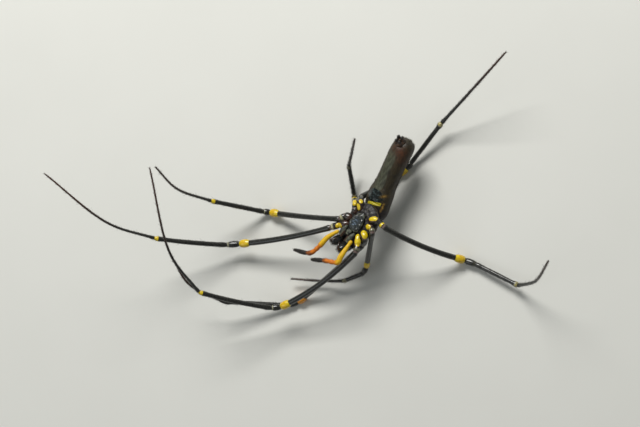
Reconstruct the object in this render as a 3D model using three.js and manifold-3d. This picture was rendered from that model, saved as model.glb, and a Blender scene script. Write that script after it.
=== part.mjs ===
// Golden silk orb weaver, an adult female, lying belly up with its legs spread as it hangs in its web.
// Millimetres, +Z up. The origin is on the floor, under the middle of the whole animal.
import * as THREE from "three";
import { mergeVertices } from "three/addons/utils/BufferGeometryUtils.js";
import Module from "manifold-3d";

const wasm = await Module();
wasm.setup();

// Driving dimensions
const gap = 0.3; // between neighbouring parts
const sternumHeight = 15.5; // middle of the sternum over the floor
const prosomaAttitude = { heading: 228, rise: -8, roll: 19 }; // degrees; heading of the head end
const abdomenAttitude = { heading: 245, rise: -5, roll: 24 };
const abdomenLength = 27.1;
const abdomenFront = [3.1, 0.75, -6.4]; // front end of the abdomen, from the sternum
const limbSides = 8;
const bodySides = 20;
const tipRadius = 0.16;

// Each leg pair: where its coxa leaves the sternum and where it ends, forward, sideways and up
// from the sternum, and the radii along it.
const legPairs = {
  1: {
    root: [2.7, 2.5, -1.3],
    coxaEnd: [5.2, 4.7, -1.1],
    radii: { coxa: 1.3, femur: 0.88, bulb: 1.3, patella: 1.02, tibia: 0.74, ankle: 0.8, metatarsus: 0.4 },
  },
  2: {
    root: [0.9, 2.9, -1.3],
    coxaEnd: [1.9, 5.2, -1.1],
    radii: { coxa: 1.25, femur: 0.85, bulb: 1.3, patella: 1.0, tibia: 0.72, ankle: 0.78, metatarsus: 0.4 },
  },
  3: {
    root: [-1.1, 2.8, -1.3],
    coxaEnd: [-1.9, 4.4, -1.1],
    radii: { coxa: 1.05, femur: 0.8, bulb: 0.98, patella: 0.85, tibia: 0.66, ankle: 0.72, metatarsus: 0.4 },
  },
  4: {
    root: [-2.7, 2.2, -1.3],
    coxaEnd: [-4.9, 4.3, -1.2],
    radii: { coxa: 1.2, femur: 0.86, bulb: 1.3, patella: 1.03, tibia: 0.7, ankle: 0.88, metatarsus: 0.46 },
  },
};

// The pose. The hip is the trochanter's far end, forward, to the right and up from the sternum.
// Each segment is its length, its heading and its rise in degrees, and how far it bows to its left
// and sags.
const legPoses = {
  left_1: {
    hip: [7.7, -6.1, -0.5],
    femur: [32.5, 189.5, -12.5, 0.7],
    patella: [4.1, 184.5, 9],
    tibia: [22.7, 174, 27.5, 0.3],
    metatarsus: [18.2, 154.5, 50],
    tarsus: [23.8, 137.5, 24.5],
  },
  left_2: {
    hip: [3.7, -5.5, -0.5],
    femur: [28.2, 175.5, -24.5, 0.3],
    patella: [2.2, 172.5, 26],
    tibia: [18.1, 166, 41.5, 0],
    metatarsus: [14.3, 152.5, 57],
    tarsus: [13.1, 115, 57.5],
  },
  left_3: {
    hip: [-3.3, -5.3, -0.9],
    femur: [13, 162.5, -74.5, 0],
    patella: [1.6, 90, 19],
    tibia: [9.8, 94.5, 24.5, 0],
    metatarsus: [8, 55.5, 55],
    tarsus: [9.3, 52, 59.5],
  },
  left_4: {
    hip: [-4.65, -6.9, -4.2],
    femur: [17.8, 36.2, -29.8, 0, 3],
    patella: [2.2, 46.5, 15],
    tibia: [15.9, 49.5, 12, 0],
    metatarsus: [13.1, 41.5, 27],
    tarsus: [20.3, 42, 26.5],
  },
  right_1: {
    hip: [6.7, 6.1, -0.5],
    femur: [32.3, 213.5, -15, 1.4],
    patella: [2.9, 186.5, 18.5],
    tibia: [23.3, 165.5, 29, 0.4],
    metatarsus: [18, 113, 42],
    tarsus: [26.9, 97, 19.5],
  },
  right_2: {
    hip: [4.46, 4.85, -3.2],
    femur: [32.6, 217.1, -22.95, 0.3],
    patella: [3.3, 199.3, 13.2],
    tibia: [20.0, 176.5, 18.95, 0],
    metatarsus: [12.2, 149.7, 26.7],
    tarsus: [11.9, 113.7, 30.4],
  },
  right_3: {
    hip: [-1.4, 6.1, -0.5],
    femur: [16.6, 246.5, -44.5, 0],
    patella: [2.1, 241, -10],
    tibia: [7.3, 200.5, -13.5, 0],
    metatarsus: [7, 180.5, -8],
    tarsus: [9.9, 176.5, 3],
  },
  right_4: {
    hip: [-5.2, 7.8, -0.5],
    femur: [29.3, 334.5, -35.5, -1],
    patella: [3.7, 341, 7],
    tibia: [14.5, 334.5, 5, 0],
    metatarsus: [11.3, 14, 53],
    tarsus: [16.5, 46.5, 58],
  },
};

// The palps, joint by joint from their roots, forward, to the right and up from the sternum.
const palpJoints = {
  left: [[6.3, -2.9, 0.1], [10.1, -3.9, 1.0], [14.1, -3.9, 1.5], [17.4, -4.8, 1.5], [21.1, -10.3, 1.0]],
  right: [[5.2, 3.0, 0.4], [10.6, 4.5, 2.0], [12.2, 5.0, 2.2], [15.0, 1.4, 2.2], [18.5, -3.0, 1.6]],
};
const palpRadii = [0.6, 0.8, 0.85, 0.7, 0.62];

const materials = {
  black: new THREE.MeshStandardMaterial({ color: 0x1b1c18, roughness: 0.45, metalness: 0 }),
  olive: new THREE.MeshStandardMaterial({ color: 0x3a3a26, roughness: 0.55, metalness: 0 }),
  gloss: new THREE.MeshStandardMaterial({ color: 0x101112, roughness: 0.2, metalness: 0 }),
  amber: new THREE.MeshStandardMaterial({ color: 0xd9921c, roughness: 0.45, metalness: 0 }),
  grey: new THREE.MeshStandardMaterial({ color: 0x56584a, roughness: 0.6, metalness: 0 }),
};

// Directions and places
const radians = THREE.MathUtils.degToRad;

function direction(heading, rise) {
  const flat = Math.cos(radians(rise));
  return new THREE.Vector3(
    Math.cos(radians(heading)) * flat,
    Math.sin(radians(heading)) * flat,
    Math.sin(radians(rise)),
  );
}

// The frame of a body part lying belly up: x to its own right, y forward, z out of its belly.
function bodyFrame({ heading, rise, roll }, origin) {
  const forward = direction(heading, rise);
  const levelRight = new THREE.Vector3(0, 0, 1).cross(forward).normalize();
  const levelBelly = levelRight.clone().cross(forward).negate();
  const right = levelRight.clone().multiplyScalar(Math.cos(radians(roll)));
  right.addScaledVector(levelBelly, Math.sin(radians(roll)));
  const belly = forward.clone().cross(right);
  return new THREE.Matrix4().makeBasis(right, forward, belly).setPosition(origin);
}

const sternumPoint = new THREE.Vector3(0, 0, sternumHeight);
const prosomaFrame = bodyFrame(prosomaAttitude, sternumPoint);
const abdomenFrame = bodyFrame(
  abdomenAttitude,
  sternumPoint.clone().add(new THREE.Vector3(...abdomenFront)),
);

// A place on the prosoma, from how far forward, to the right and up it is.
function onProsoma([forward, right, up]) {
  return new THREE.Vector3(right, forward, up).applyMatrix4(prosomaFrame);
}

// Solids
function toSolid(geometry) {
  const bare = geometry.clone();
  for (const name of Object.keys(bare.attributes)) {
    if (name !== "position") bare.deleteAttribute(name);
  }
  const merged = mergeVertices(bare, 1e-4);
  const vertProperties = new Float32Array(merged.attributes.position.array);
  const corners = [...merged.index.array];
  const solidFrom = (list) =>
    new wasm.Manifold(new wasm.Mesh({ numProp: 3, vertProperties, triVerts: new Uint32Array(list) }));
  const solid = solidFrom(corners);
  return solid.volume() > 0 ? solid : solidFrom(corners.reverse());
}

function toGeometry(solid) {
  const mesh = solid.getMesh();
  const geometry = new THREE.BufferGeometry();
  geometry.setAttribute("position", new THREE.BufferAttribute(mesh.vertProperties, 3));
  geometry.setIndex(new THREE.BufferAttribute(mesh.triVerts, 1));
  return geometry;
}

const volumeOf = (solid) => solid.volume();
const largestOf = (solid) => solid.decompose().sort((a, b) => volumeOf(b) - volumeOf(a))[0];
const joined = (solids) => solids.reduce((whole, piece) => whole.add(piece));

// A closed surface over rings of points, with a point at each end.
function skinOver(rings, startPoint, endPoint) {
  const sides = rings[0].length;
  const points = [startPoint, ...rings.flat(), endPoint];
  const last = points.length - 1;
  const faces = [];
  for (let k = 0; k < sides; k++) {
    const next = (k + 1) % sides;
    faces.push(0, 1 + next, 1 + k);
    for (let ring = 0; ring < rings.length - 1; ring++) {
      const a = 1 + ring * sides;
      const b = a + sides;
      faces.push(a + k, a + next, b + next, a + k, b + next, b + k);
    }
    const end = 1 + (rings.length - 1) * sides;
    faces.push(last, end + k, end + next);
  }
  const geometry = new THREE.BufferGeometry().setFromPoints(points);
  geometry.setIndex(faces);
  return geometry;
}

// A limb along a curve. Its profile gives the share of the way along and the radius there.
function limb(curve, profile, sides = limbSides) {
  const rings = profile.map(([share, radius]) => {
    const centre = curve.getPointAt(share);
    const along = curve.getTangentAt(share);
    const side = Math.abs(along.z) > 0.9 ? new THREE.Vector3(1, 0, 0) : new THREE.Vector3(0, 0, 1);
    const across = side.cross(along).normalize();
    const up = along.clone().cross(across);
    return Array.from({ length: sides }, (_, k) => {
      const turn = (2 * Math.PI * (k + 0.5)) / sides;
      return centre
        .clone()
        .addScaledVector(across, radius * Math.cos(turn))
        .addScaledVector(up, radius * Math.sin(turn));
    });
  });
  const startRadius = profile[0][1];
  const endRadius = profile[profile.length - 1][1];
  const start = curve.getPointAt(0).addScaledVector(curve.getTangentAt(0), -startRadius * 0.6);
  const end = curve.getPointAt(1).addScaledVector(curve.getTangentAt(1), endRadius * 0.6);
  return toSolid(skinOver(rings, start, end));
}

// A body form in its own frame: rings across the forward axis, each with its place forward, half
// width, depth to the back and to the belly, and how far its middle is raised and set to the right.
function form(frame, stations, tips, { sides = bodySides, square = 2, sideways = 0, grow = 0 } = {}) {
  const power = 2 / square;
  const round = (x) => Math.sign(x) * Math.abs(x) ** power;
  const rings = stations.map(([forward, half, back, belly, raise = 0, aside = 0]) =>
    Array.from({ length: sides }, (_, k) => {
      const turn = (2 * Math.PI * k) / sides;
      const up = round(Math.cos(turn));
      const depth = (up > 0 ? belly : back) + grow;
      const x = sideways + aside + (half + grow) * round(Math.sin(turn));
      return new THREE.Vector3(x, forward, raise + depth * up).applyMatrix4(frame);
    }),
  );
  const [first, last] = [stations[0], stations[stations.length - 1]];
  const way = Math.sign(last[0] - first[0]);
  const start = new THREE.Vector3(sideways, tips[0] - way * grow, first[4] ?? 0).applyMatrix4(frame);
  const end = new THREE.Vector3(sideways, tips[1] + way * grow, last[4] ?? 0).applyMatrix4(frame);
  return toSolid(skinOver(rings, start, end));
}

// A thin round slab that parts two segments where they meet, square to the way the limb runs.
function jointSlab(centre, normal, radius) {
  const slab = new THREE.CylinderGeometry(radius, radius, gap, 12);
  const turn = new THREE.Quaternion().setFromUnitVectors(new THREE.Vector3(0, 1, 0), normal);
  slab.applyQuaternion(turn).translate(...centre);
  return toSolid(slab);
}

// What lies under the floor
const floorDepth = 20;
const floorSpan = 400;
const underFloor = toSolid(
  new THREE.BoxGeometry(floorSpan, floorSpan, floorDepth).translate(0, 0, -floorDepth / 2),
);

// Prosoma
const carapaceStations = [
  [-6.1, 1.9, 1.0, 0.9, -2.4],
  [-5.1, 3.5, 1.8, 1.4, -2.4],
  [-3.2, 4.8, 2.9, 1.7, -2.4],
  [-1.0, 5.3, 3.7, 1.8, -2.4],
  [1.4, 5.0, 3.7, 1.8, -2.4],
  [3.4, 4.1, 3.8, 1.7, -2.5],
  [5.2, 3.5, 3.9, 1.5, -2.6],
  [6.8, 3.3, 3.7, 1.2, -2.8],
  [7.8, 2.9, 2.9, 0.9, -3.1],
];
const carapaceTips = [-6.5, 8.1];
const sternumStations = [
  [-3.2, 0.5, 0.15, 0.25, -0.05],
  [-2.5, 1.2, 0.2, 0.4, -0.05],
  [-1.0, 1.95, 0.2, 0.5, -0.05],
  [0.9, 2.3, 0.2, 0.5, -0.05],
  [2.2, 2.1, 0.2, 0.4, -0.05],
  [2.75, 1.5, 0.15, 0.25, -0.05],
];
const sternumTips = [-3.5, 2.9];
const labiumStations = [
  [3.2, 0.8, 0.35, 0.3, 0.1],
  [3.9, 0.85, 0.4, 0.4, 0.15],
  [4.7, 0.6, 0.35, 0.35, 0.2],
];

const sternum = form(prosomaFrame, sternumStations, sternumTips, { sides: 16 });
const sternumRoom = form(prosomaFrame, sternumStations, sternumTips, { sides: 16, grow: gap });
const labium = form(prosomaFrame, labiumStations, [3.05, 4.95], { sides: 12 });

// Each endite is the inner lobe of a palp's root, beside the labium.
function makeEndite(side) {
  const stations = [
    [3.15, 0.4, 0.5, 0.35, 0],
    [3.9, 0.65, 0.6, 0.5, 0.1],
    [5.2, 0.75, 0.6, 0.6, 0.25],
    [6.3, 0.6, 0.5, 0.5, 0.35],
  ];
  return form(prosomaFrame, stations, [2.95, 6.7], { sides: 12, sideways: side * 1.85 });
}

// Each chelicera is a stout barrel in front of the mouth, with its fang folded across its end.
const cheliceraFrame = new THREE.Matrix4()
  .makeRotationX(radians(55))
  .setPosition(0, 7.1, -3.2)
  .premultiply(prosomaFrame);

function makeChelicera(side, grow = 0) {
  const stations = [
    [0.3, 1.05, 1.2, 1.0],
    [1.0, 1.4, 1.5, 1.3],
    [2.4, 1.5, 1.55, 1.4],
    [3.8, 1.35, 1.35, 1.25],
    [4.7, 0.95, 0.95, 0.9],
  ];
  return form(cheliceraFrame, stations, [0, 5.2], { sides: 14, sideways: side * 1.66, grow });
}

function makeFang(side) {
  const points = [[2.2, 5.3, 0.5], [1.8, 5.55, 1.4], [1.2, 5.0, 2.05], [0.7, 4.2, 2.2]];
  const curve = new THREE.CatmullRomCurve3(
    points.map(([x, y, z]) => new THREE.Vector3(side * x, y, z).applyMatrix4(cheliceraFrame)),
  );
  return limb(curve, [[0, 0.42], [0.3, 0.38], [0.65, 0.28], [1, 0.12]], 8);
}

// Eyes: two rows of four at the front of the head, the outer pair close together on a low bump.
const eyePlaces = {
  front_inner: [7.9, 0.55, -4.4, 0.26],
  front_outer: [7.2, 2.25, -5.25, 0.22],
  rear_inner: [7.0, 0.75, -6.25, 0.25],
  rear_outer: [6.6, 2.35, -5.5, 0.22],
};

// Legs
const legSegments = ["femur", "patella", "tibia", "metatarsus", "tarsus"];

function bowed(from, to, bow = 0, sag = 0) {
  const along = to.clone().sub(from);
  const left = new THREE.Vector3(-along.y, along.x, 0).normalize();
  const middle = from.clone().add(to).multiplyScalar(0.5).addScaledVector(left, 2 * bow);
  middle.z -= 2 * sag;
  return new THREE.QuadraticBezierCurve3(from, middle, to);
}

function legJoints(name) {
  const pose = legPoses[name];
  const side = name.startsWith("left") ? -1 : 1;
  const pair = legPairs[name.slice(-1)];
  const mirrored = ([forward, out, up]) => onProsoma([forward, side * out, up]);
  const joints = [mirrored(pair.root), mirrored(pair.coxaEnd), onProsoma(pose.hip)];
  for (const segment of legSegments) {
    const [length, heading, rise] = pose[segment];
    const from = joints[joints.length - 1];
    joints.push(from.clone().addScaledVector(direction(heading, rise), length));
  }
  return joints;
}

// The direction halfway between two segments that meet, along which their joint is parted.
function between(before, at, after) {
  const into = at.clone().sub(before).normalize();
  return into.add(after.clone().sub(at).normalize()).normalize();
}

// The coxa and the trochanter, from the sternum to the hip.
function makeLegRoot(name, grow = 0) {
  const { radii } = legPairs[name.slice(-1)];
  const [root, coxaEnd, hip] = legJoints(name);
  const coxa = limb(bowed(root, coxaEnd), [
    [0, radii.coxa * 0.62 + grow],
    [0.35, radii.coxa * 0.9 + grow],
    [0.75, radii.coxa + grow],
    [1, radii.coxa * 0.82 + grow],
  ]);
  const trochanter = limb(bowed(coxaEnd, hip), [
    [0, radii.coxa * 0.78 + grow],
    [0.5, radii.coxa * 0.82 + grow],
    [1, radii.femur * 1.05 + grow],
  ]);
  return joined([coxa, trochanter]);
}

function makeLeg(name, clearOf) {
  const { radii } = legPairs[name.slice(-1)];
  const pose = legPoses[name];
  const bulbLength = 2.8 * radii.bulb;
  const [root, coxaEnd, hip, knee, tibiaStart, ankle, tarsusStart, tip] = legJoints(name);
  const beforeKnee = (length) => 1 - length / pose.femur[0];
  const femur = limb(bowed(hip, knee, ...pose.femur.slice(3)), [
    [0, radii.femur * 0.9],
    [0.06, radii.femur * 1.05],
    [0.25, radii.femur],
    [0.5, radii.femur],
    [0.75, radii.femur * 1.06],
    [beforeKnee(bulbLength * 1.05), radii.femur * 1.1],
    [beforeKnee(bulbLength * 0.75), radii.bulb * 0.96],
    [beforeKnee(bulbLength * 0.35), radii.bulb],
    [1, radii.bulb * 0.72],
  ]);
  const patella = limb(bowed(knee, tibiaStart), [
    [0, radii.patella * 0.8],
    [0.45, radii.patella],
    [1, radii.tibia * 1.1],
  ]);
  const tibia = limb(bowed(tibiaStart, ankle, pose.tibia[3]), [
    [0, radii.tibia * 1.05],
    [0.12, radii.tibia * 0.96],
    [0.5, radii.tibia],
    [0.85, radii.tibia * 0.92],
    [1, radii.ankle],
  ]);
  const footCurve = new THREE.CatmullRomCurve3([ankle, tarsusStart, tip], false, "centripetal");
  const footShares = [0, 0.05, 0.2, 0.35, 0.5, 0.65, 0.8, 0.92, 1];
  const footRadius = (share) => {
    if (share === 0) return radii.metatarsus * 1.25;
    return share === 1 ? tipRadius : radii.metatarsus * (1.05 - 0.4 * share);
  };
  const foot = limb(
    footCurve,
    footShares.map((share) => [share, footRadius(share)]),
  );
  const cuts = [
    [hip, between(coxaEnd, hip, knee), radii.coxa * 1.6],
    [knee, between(hip, knee, tibiaStart), radii.bulb * 1.6],
    [ankle, between(tibiaStart, ankle, tarsusStart), radii.ankle * 1.7],
  ];
  let whole = joined([makeLegRoot(name), femur, patella, tibia, foot]).subtract(underFloor);
  for (const solid of clearOf) whole = whole.subtract(solid);
  for (const [centre, normal, radius] of cuts) whole = whole.subtract(jointSlab(centre, normal, radius));
  const middles = [
    root.clone().lerp(coxaEnd, 0.75),
    hip.clone().lerp(knee, 0.5),
    tibiaStart.clone().lerp(ankle, 0.5),
    tarsusStart,
  ];
  return sortedAlong(whole.decompose(), middles);
}

// The piece nearest each of these places, by the middle of its box.
function sortedAlong(pieces, places) {
  return places.map((place) => {
    const distance = (piece) => {
      const { min, max } = piece.boundingBox();
      const box = new THREE.Box3(new THREE.Vector3(...min), new THREE.Vector3(...max));
      return box.distanceToPoint(place) + 0.1 * box.getCenter(new THREE.Vector3()).distanceTo(place);
    };
    const solid = pieces.filter((piece) => volumeOf(piece) > 0.2);
    return solid.sort((a, b) => distance(a) - distance(b))[0];
  });
}

// Palps
function makePalp(side, clearOf) {
  const places = palpJoints[side].map(onProsoma);
  const curve = new THREE.CatmullRomCurve3(places, false, "centripetal");
  const shares = [0, 0.08, 0.25, 0.4, 0.52, 0.62, 0.74, 0.86, 0.95, 1];
  const last = palpRadii.length - 1;
  const profile = shares.map((share) => {
    const at = share * last;
    const low = Math.min(Math.floor(at), last - 1);
    const radius = THREE.MathUtils.lerp(palpRadii[low], palpRadii[low + 1], at - low);
    return [share, share === 1 ? 0.3 : radius];
  });
  let palp = limb(curve, profile);
  for (const solid of clearOf) palp = palp.subtract(solid);
  return largestOf(palp);
}

// Abdomen: its front end at zero and its far end at minus its length, the belly up.
const abdomenStations = [
  [-0.4, 2.0, 1.7, 1.2, 0.1, 0.3],
  [-1.4, 3.3, 2.8, 2.1, 0.1, 0.2],
  [-3.2, 4.0, 3.4, 2.9, 0.1, -0.05],
  [-5.8, 4.2, 3.6, 3.3, 0.1, -0.4],
  [-8.5, 4.05, 3.6, 3.4, 0, -0.6],
  [-11.0, 3.6, 3.5, 3.3, 0, -0.55],
  [-14.0, 3.35, 3.4, 3.15, 0, -0.45],
  [-18.0, 3.4, 3.3, 3.1, 0, -0.35],
  [-21.5, 3.55, 3.4, 3.1, 0, -0.2],
  [-24.2, 3.5, 3.3, 2.9, -0.1, -0.05],
  [-25.9, 2.8, 2.8, 2.2, -0.2, 0],
  [-26.7, 1.6, 1.7, 1.1, -0.3, 0],
];
const pedicelFrom = [-5.9, 0.2, -2.2];
const pedicelTo = [-7.6, -0.6, -4.6];

function makeSpinnerets() {
  const base = form(
    abdomenFrame,
    [
      [-23.9, 0.7, 0.6, 0.5, 2.4],
      [-24.6, 1.35, 1.2, 0.9, 2.6],
      [-25.8, 1.45, 1.5, 1.1, 2.3],
      [-26.6, 1.0, 1.2, 0.9, 2.0],
    ],
    [-23.6, -27.0],
    { sides: 12 },
  );
  const cones = [];
  for (const side of [-1, 1]) {
    for (const [forward, out, reach] of [[-24.9, 0.55, 1.4], [-26.1, 0.6, 1.4]]) {
      const from = new THREE.Vector3(side * out, forward, 2.6).applyMatrix4(abdomenFrame);
      const to = new THREE.Vector3(side * out * 0.8, forward - 0.8, 2.6 + reach).applyMatrix4(abdomenFrame);
      cones.push(limb(bowed(from, to), [[0, 0.55], [0.6, 0.5], [1, 0.3]], 8));
    }
  }
  return joined([base, ...cones]);
}

// Assembly
const spider = new THREE.Group();

function place(name, solid, material) {
  const geometry = toGeometry(solid);
  geometry.computeBoundingBox();
  const centre = geometry.boundingBox.getCenter(new THREE.Vector3());
  const mesh = new THREE.Mesh(geometry.translate(-centre.x, -centre.y, -centre.z), material);
  mesh.name = name;
  mesh.position.copy(centre);
  spider.add(mesh);
}

const carapaceBody = form(prosomaFrame, carapaceStations, carapaceTips);
const carapaceRoom = form(prosomaFrame, carapaceStations, carapaceTips, { grow: gap });
const cheliceraRooms = [-1, 1].map((side) => makeChelicera(side, gap));
const endites = { left: makeEndite(-1), right: makeEndite(1) };

let carapace = carapaceBody.subtract(sternumRoom);
for (const room of cheliceraRooms) carapace = carapace.subtract(room);

const eyes = {};
for (const [row, [forward, out, up, radius]] of Object.entries(eyePlaces)) {
  for (const side of ["left", "right"]) {
    const centre = onProsoma([forward, side === "left" ? -out : out, up]);
    const ball = new THREE.IcosahedronGeometry(radius, 1).translate(...centre);
    const socket = new THREE.IcosahedronGeometry(radius + 0.12, 1).translate(...centre);
    eyes[`eye_${side}_${row}`] = toSolid(ball);
    carapace = carapace.subtract(toSolid(socket));
  }
}
place("carapace", largestOf(carapace), materials.olive);
for (const [name, solid] of Object.entries(eyes)) place(name, solid, materials.gloss);
place("sternum", sternum, materials.gloss);

const enditeClear = [carapaceRoom, sternumRoom, ...cheliceraRooms];
const clearOf = (solid, others) => largestOf(others.reduce((left, other) => left.subtract(other), solid));
place("labium", clearOf(labium, enditeClear), materials.grey);
for (const side of ["left", "right"]) {
  place(`endite_${side}`, clearOf(endites[side], enditeClear), materials.grey);
  const sign = side === "left" ? -1 : 1;
  place(`chelicera_${side}`, makeChelicera(sign), materials.gloss);
  place(`fang_${side}`, clearOf(makeFang(sign), cheliceraRooms), materials.gloss);
}

const abdomenTips = [0, -abdomenLength];
const abdomen = form(abdomenFrame, abdomenStations, abdomenTips, { sides: 24 });
const abdomenRoom = form(abdomenFrame, abdomenStations, abdomenTips, { sides: 24, grow: gap });

const legClear = [carapaceRoom, sternumRoom, abdomenRoom];
for (const name of Object.keys(legPoses)) {
  const [coxa, femur, tibia, foot] = makeLeg(name, legClear);
  legClear.push(makeLegRoot(name, gap));
  place(`leg_${name}_coxa`, coxa, materials.black);
  place(`leg_${name}_femur`, femur, materials.black);
  place(`leg_${name}_tibia`, tibia, materials.black);
  place(`leg_${name}_metatarsus`, foot, materials.black);
}

for (const side of ["left", "right"]) {
  place(`palp_${side}`, makePalp(side, [...enditeClear, endites[side]]), materials.amber);
}

const pedicel = limb(bowed(onProsoma(pedicelFrom), onProsoma(pedicelTo)), [[0, 0.7], [0.5, 0.6], [1, 0.7]]);
place("abdomen", clearOf(abdomen, [carapaceRoom]), materials.olive);
place("pedicel", clearOf(pedicel, [carapaceRoom, abdomenRoom]), materials.black);
place("spinnerets", clearOf(makeSpinnerets(), [abdomenRoom]), materials.olive);

// The whole stands on the floor with its box centred over the origin.
const bounds = new THREE.Box3().setFromObject(spider);
const middle = bounds.getCenter(new THREE.Vector3());
spider.position.set(-middle.x, -middle.y, -bounds.min.z);

const model = new THREE.Group();
model.add(spider);
export default model;
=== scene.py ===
import math

import bpy
import numpy as np
from mathutils import Matrix, Vector


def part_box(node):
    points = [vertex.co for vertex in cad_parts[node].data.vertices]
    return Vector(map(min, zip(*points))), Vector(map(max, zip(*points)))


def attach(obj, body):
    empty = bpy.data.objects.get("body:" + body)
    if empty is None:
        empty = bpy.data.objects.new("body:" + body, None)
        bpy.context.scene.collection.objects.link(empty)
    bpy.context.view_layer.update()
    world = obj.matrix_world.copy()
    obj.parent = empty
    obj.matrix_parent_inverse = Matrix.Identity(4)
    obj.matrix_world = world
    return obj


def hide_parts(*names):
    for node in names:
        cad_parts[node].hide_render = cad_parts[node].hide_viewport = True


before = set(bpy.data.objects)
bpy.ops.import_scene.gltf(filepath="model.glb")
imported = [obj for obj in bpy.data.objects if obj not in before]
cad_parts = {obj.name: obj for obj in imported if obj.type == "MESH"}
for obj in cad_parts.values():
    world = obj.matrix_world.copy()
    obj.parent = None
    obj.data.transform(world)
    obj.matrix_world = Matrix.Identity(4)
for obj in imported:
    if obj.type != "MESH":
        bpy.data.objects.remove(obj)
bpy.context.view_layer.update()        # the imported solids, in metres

mm = 0.001


def say(words):
    print(f"spider: {words}", flush=True)


# Directions and frames, in millimetres from the middle of the sternum

attitude = {
    "prosoma": {"heading": 228, "rise": -8, "roll": 19},  # degrees, heading of the head end
    "abdomen": {"heading": 245, "rise": -5, "roll": 24},
    "abdomenFront": (3.1, 0.75, -6.4),  # its front end, from the sternum
}


def direction(heading, rise):
    flat = math.cos(math.radians(rise))
    turn = math.radians(heading)
    return np.array([math.cos(turn) * flat, math.sin(turn) * flat, math.sin(math.radians(rise))])


def bodyFrame(heading, rise, roll):
    # rows: the animal's right, its forward and the way its belly faces
    forward = direction(heading, rise)
    levelRight = np.cross([0, 0, 1.0], forward)
    levelRight /= np.linalg.norm(levelRight)
    levelBelly = np.cross(forward, levelRight)
    lean = math.radians(roll)
    right = levelRight * math.cos(lean) + levelBelly * math.sin(lean)
    return np.array([right, forward, np.cross(forward, right)])


prosomaAxes = bodyFrame(**attitude["prosoma"])
abdomenAxes = bodyFrame(**attitude["abdomen"])

# The front inner eye is a ball, so the middle of its box is its own place on the head.
eyeOffset = np.array([-0.55, 7.9, -4.4])  # right, forward, belly
eyeLow, eyeHigh = (np.array(corner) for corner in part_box("eye_left_front_inner"))
sternumPoint = (eyeLow + eyeHigh) / 2 / mm - eyeOffset @ prosomaAxes


def onProsoma(forward, right, up):
    return sternumPoint + np.array([right, forward, up]) @ prosomaAxes


# Camera

cameraPlan = {
    "tilt": 15,  # degrees off straight down, towards +X
    "lens": 112,
    "sensor": 36,
    "distance": 600,  # mm from the sternum's depth
    "frame": (640, 427),
    "sternumPixel": (357, 222),
}


def setCamera(plan):
    lean = math.radians(plan["tilt"])
    right = np.array([math.cos(lean), 0, -math.sin(lean)])
    up = np.array([0, 1.0, 0])
    back = np.array([math.sin(lean), 0, math.cos(lean)])
    pixelsPerMm = plan["frame"][0] * plan["lens"] / plan["sensor"] / plan["distance"]
    offX = (plan["sternumPixel"][0] - plan["frame"][0] / 2) / pixelsPerMm
    offY = (plan["frame"][1] / 2 - plan["sternumPixel"][1]) / pixelsPerMm
    place = sternumPoint - right * offX - up * offY + back * plan["distance"]
    data = bpy.data.cameras.new("camera")
    data.lens = plan["lens"]
    data.sensor_width = plan["sensor"]
    data.sensor_fit = "HORIZONTAL"
    data.clip_start = 0.01
    data.clip_end = 20
    camera = bpy.data.objects.new("camera", data)
    bpy.context.scene.collection.objects.link(camera)
    turn = Matrix([right, up, back]).transposed().to_4x4()
    camera.matrix_world = Matrix.Translation(Vector(place * mm)) @ turn
    bpy.context.scene.camera = camera


setCamera(cameraPlan)
say("camera set")


# Mesh helpers

def smoothStep(low, high, x):
    t = np.clip((np.asarray(x, float) - low) / (high - low), 0, 1)
    return t * t * (3 - 2 * t)


def curveThrough(stops, at):
    # smooth values through a list of (place, value) stops, without overshoot
    places, values = np.array(stops, float).T
    steps = np.diff(values) / np.diff(places)
    slopes = np.zeros(len(places))
    for k in range(1, len(places) - 1):
        if steps[k - 1] * steps[k] > 0:
            slopes[k] = 2 * steps[k - 1] * steps[k] / (steps[k - 1] + steps[k])
    slopes[0], slopes[-1] = steps[0], steps[-1]
    k = np.clip(np.searchsorted(places, at, side="right") - 1, 0, len(steps) - 1)
    gapLength = places[k + 1] - places[k]
    t = np.clip((at - places[k]) / gapLength, 0, 1)
    a, b = values[k], values[k + 1]
    return (
        a * (1 + 2 * t) * (1 - t) ** 2
        + slopes[k] * gapLength * t * (1 - t) ** 2
        + b * t * t * (3 - 2 * t)
        + slopes[k + 1] * gapLength * t * t * (t - 1)
    )


def gridFaces(rings, sides):
    # quads between closed rings, then a fan at each end; the end points come last
    k = np.arange(sides)
    after = (k + 1) % sides
    faces = []
    for ring in range(rings - 1):
        a = ring * sides
        faces += np.stack([a + k, a + after, a + sides + after, a + sides + k], 1).tolist()
    start, end = rings * sides, rings * sides + 1
    last = (rings - 1) * sides
    faces += np.stack([np.full(sides, start), after, k], 1).tolist()
    faces += np.stack([np.full(sides, end), last + k, last + after], 1).tolist()
    return faces


def makePiece(name, points, faces, material, masks=None, flip=False):
    # points in millimetres in the row's frame; masks are values at each point
    mesh = bpy.data.meshes.new(name)
    if flip:
        faces = [face[::-1] for face in faces]
    mesh.from_pydata((np.asarray(points) * mm).tolist(), [], faces)
    for key, values in (masks or {}).items():
        layer = mesh.attributes.new(key, "FLOAT", "POINT")
        layer.data.foreach_set("value", np.asarray(values, np.float32))
    mesh.polygons.foreach_set("use_smooth", [True] * len(mesh.polygons))
    mesh.materials.append(material)
    mesh.update()
    piece = bpy.data.objects.new(name, mesh)
    bpy.context.scene.collection.objects.link(piece)
    return piece


def settle(piece, slot, *nodes):
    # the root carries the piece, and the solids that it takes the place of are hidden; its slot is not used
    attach(piece, "root")
    if nodes:
        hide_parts(*nodes)


def unit(ways):
    return ways / np.linalg.norm(ways, axis=-1, keepdims=True)


def onUnwrap(across, along):
    # places on an unwrap of a skin, kept a little inside its edges
    return np.stack([0.01 + 0.98 * across, 0.01 + 0.98 * along], 1)


# Materials, each from nodes

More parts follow.
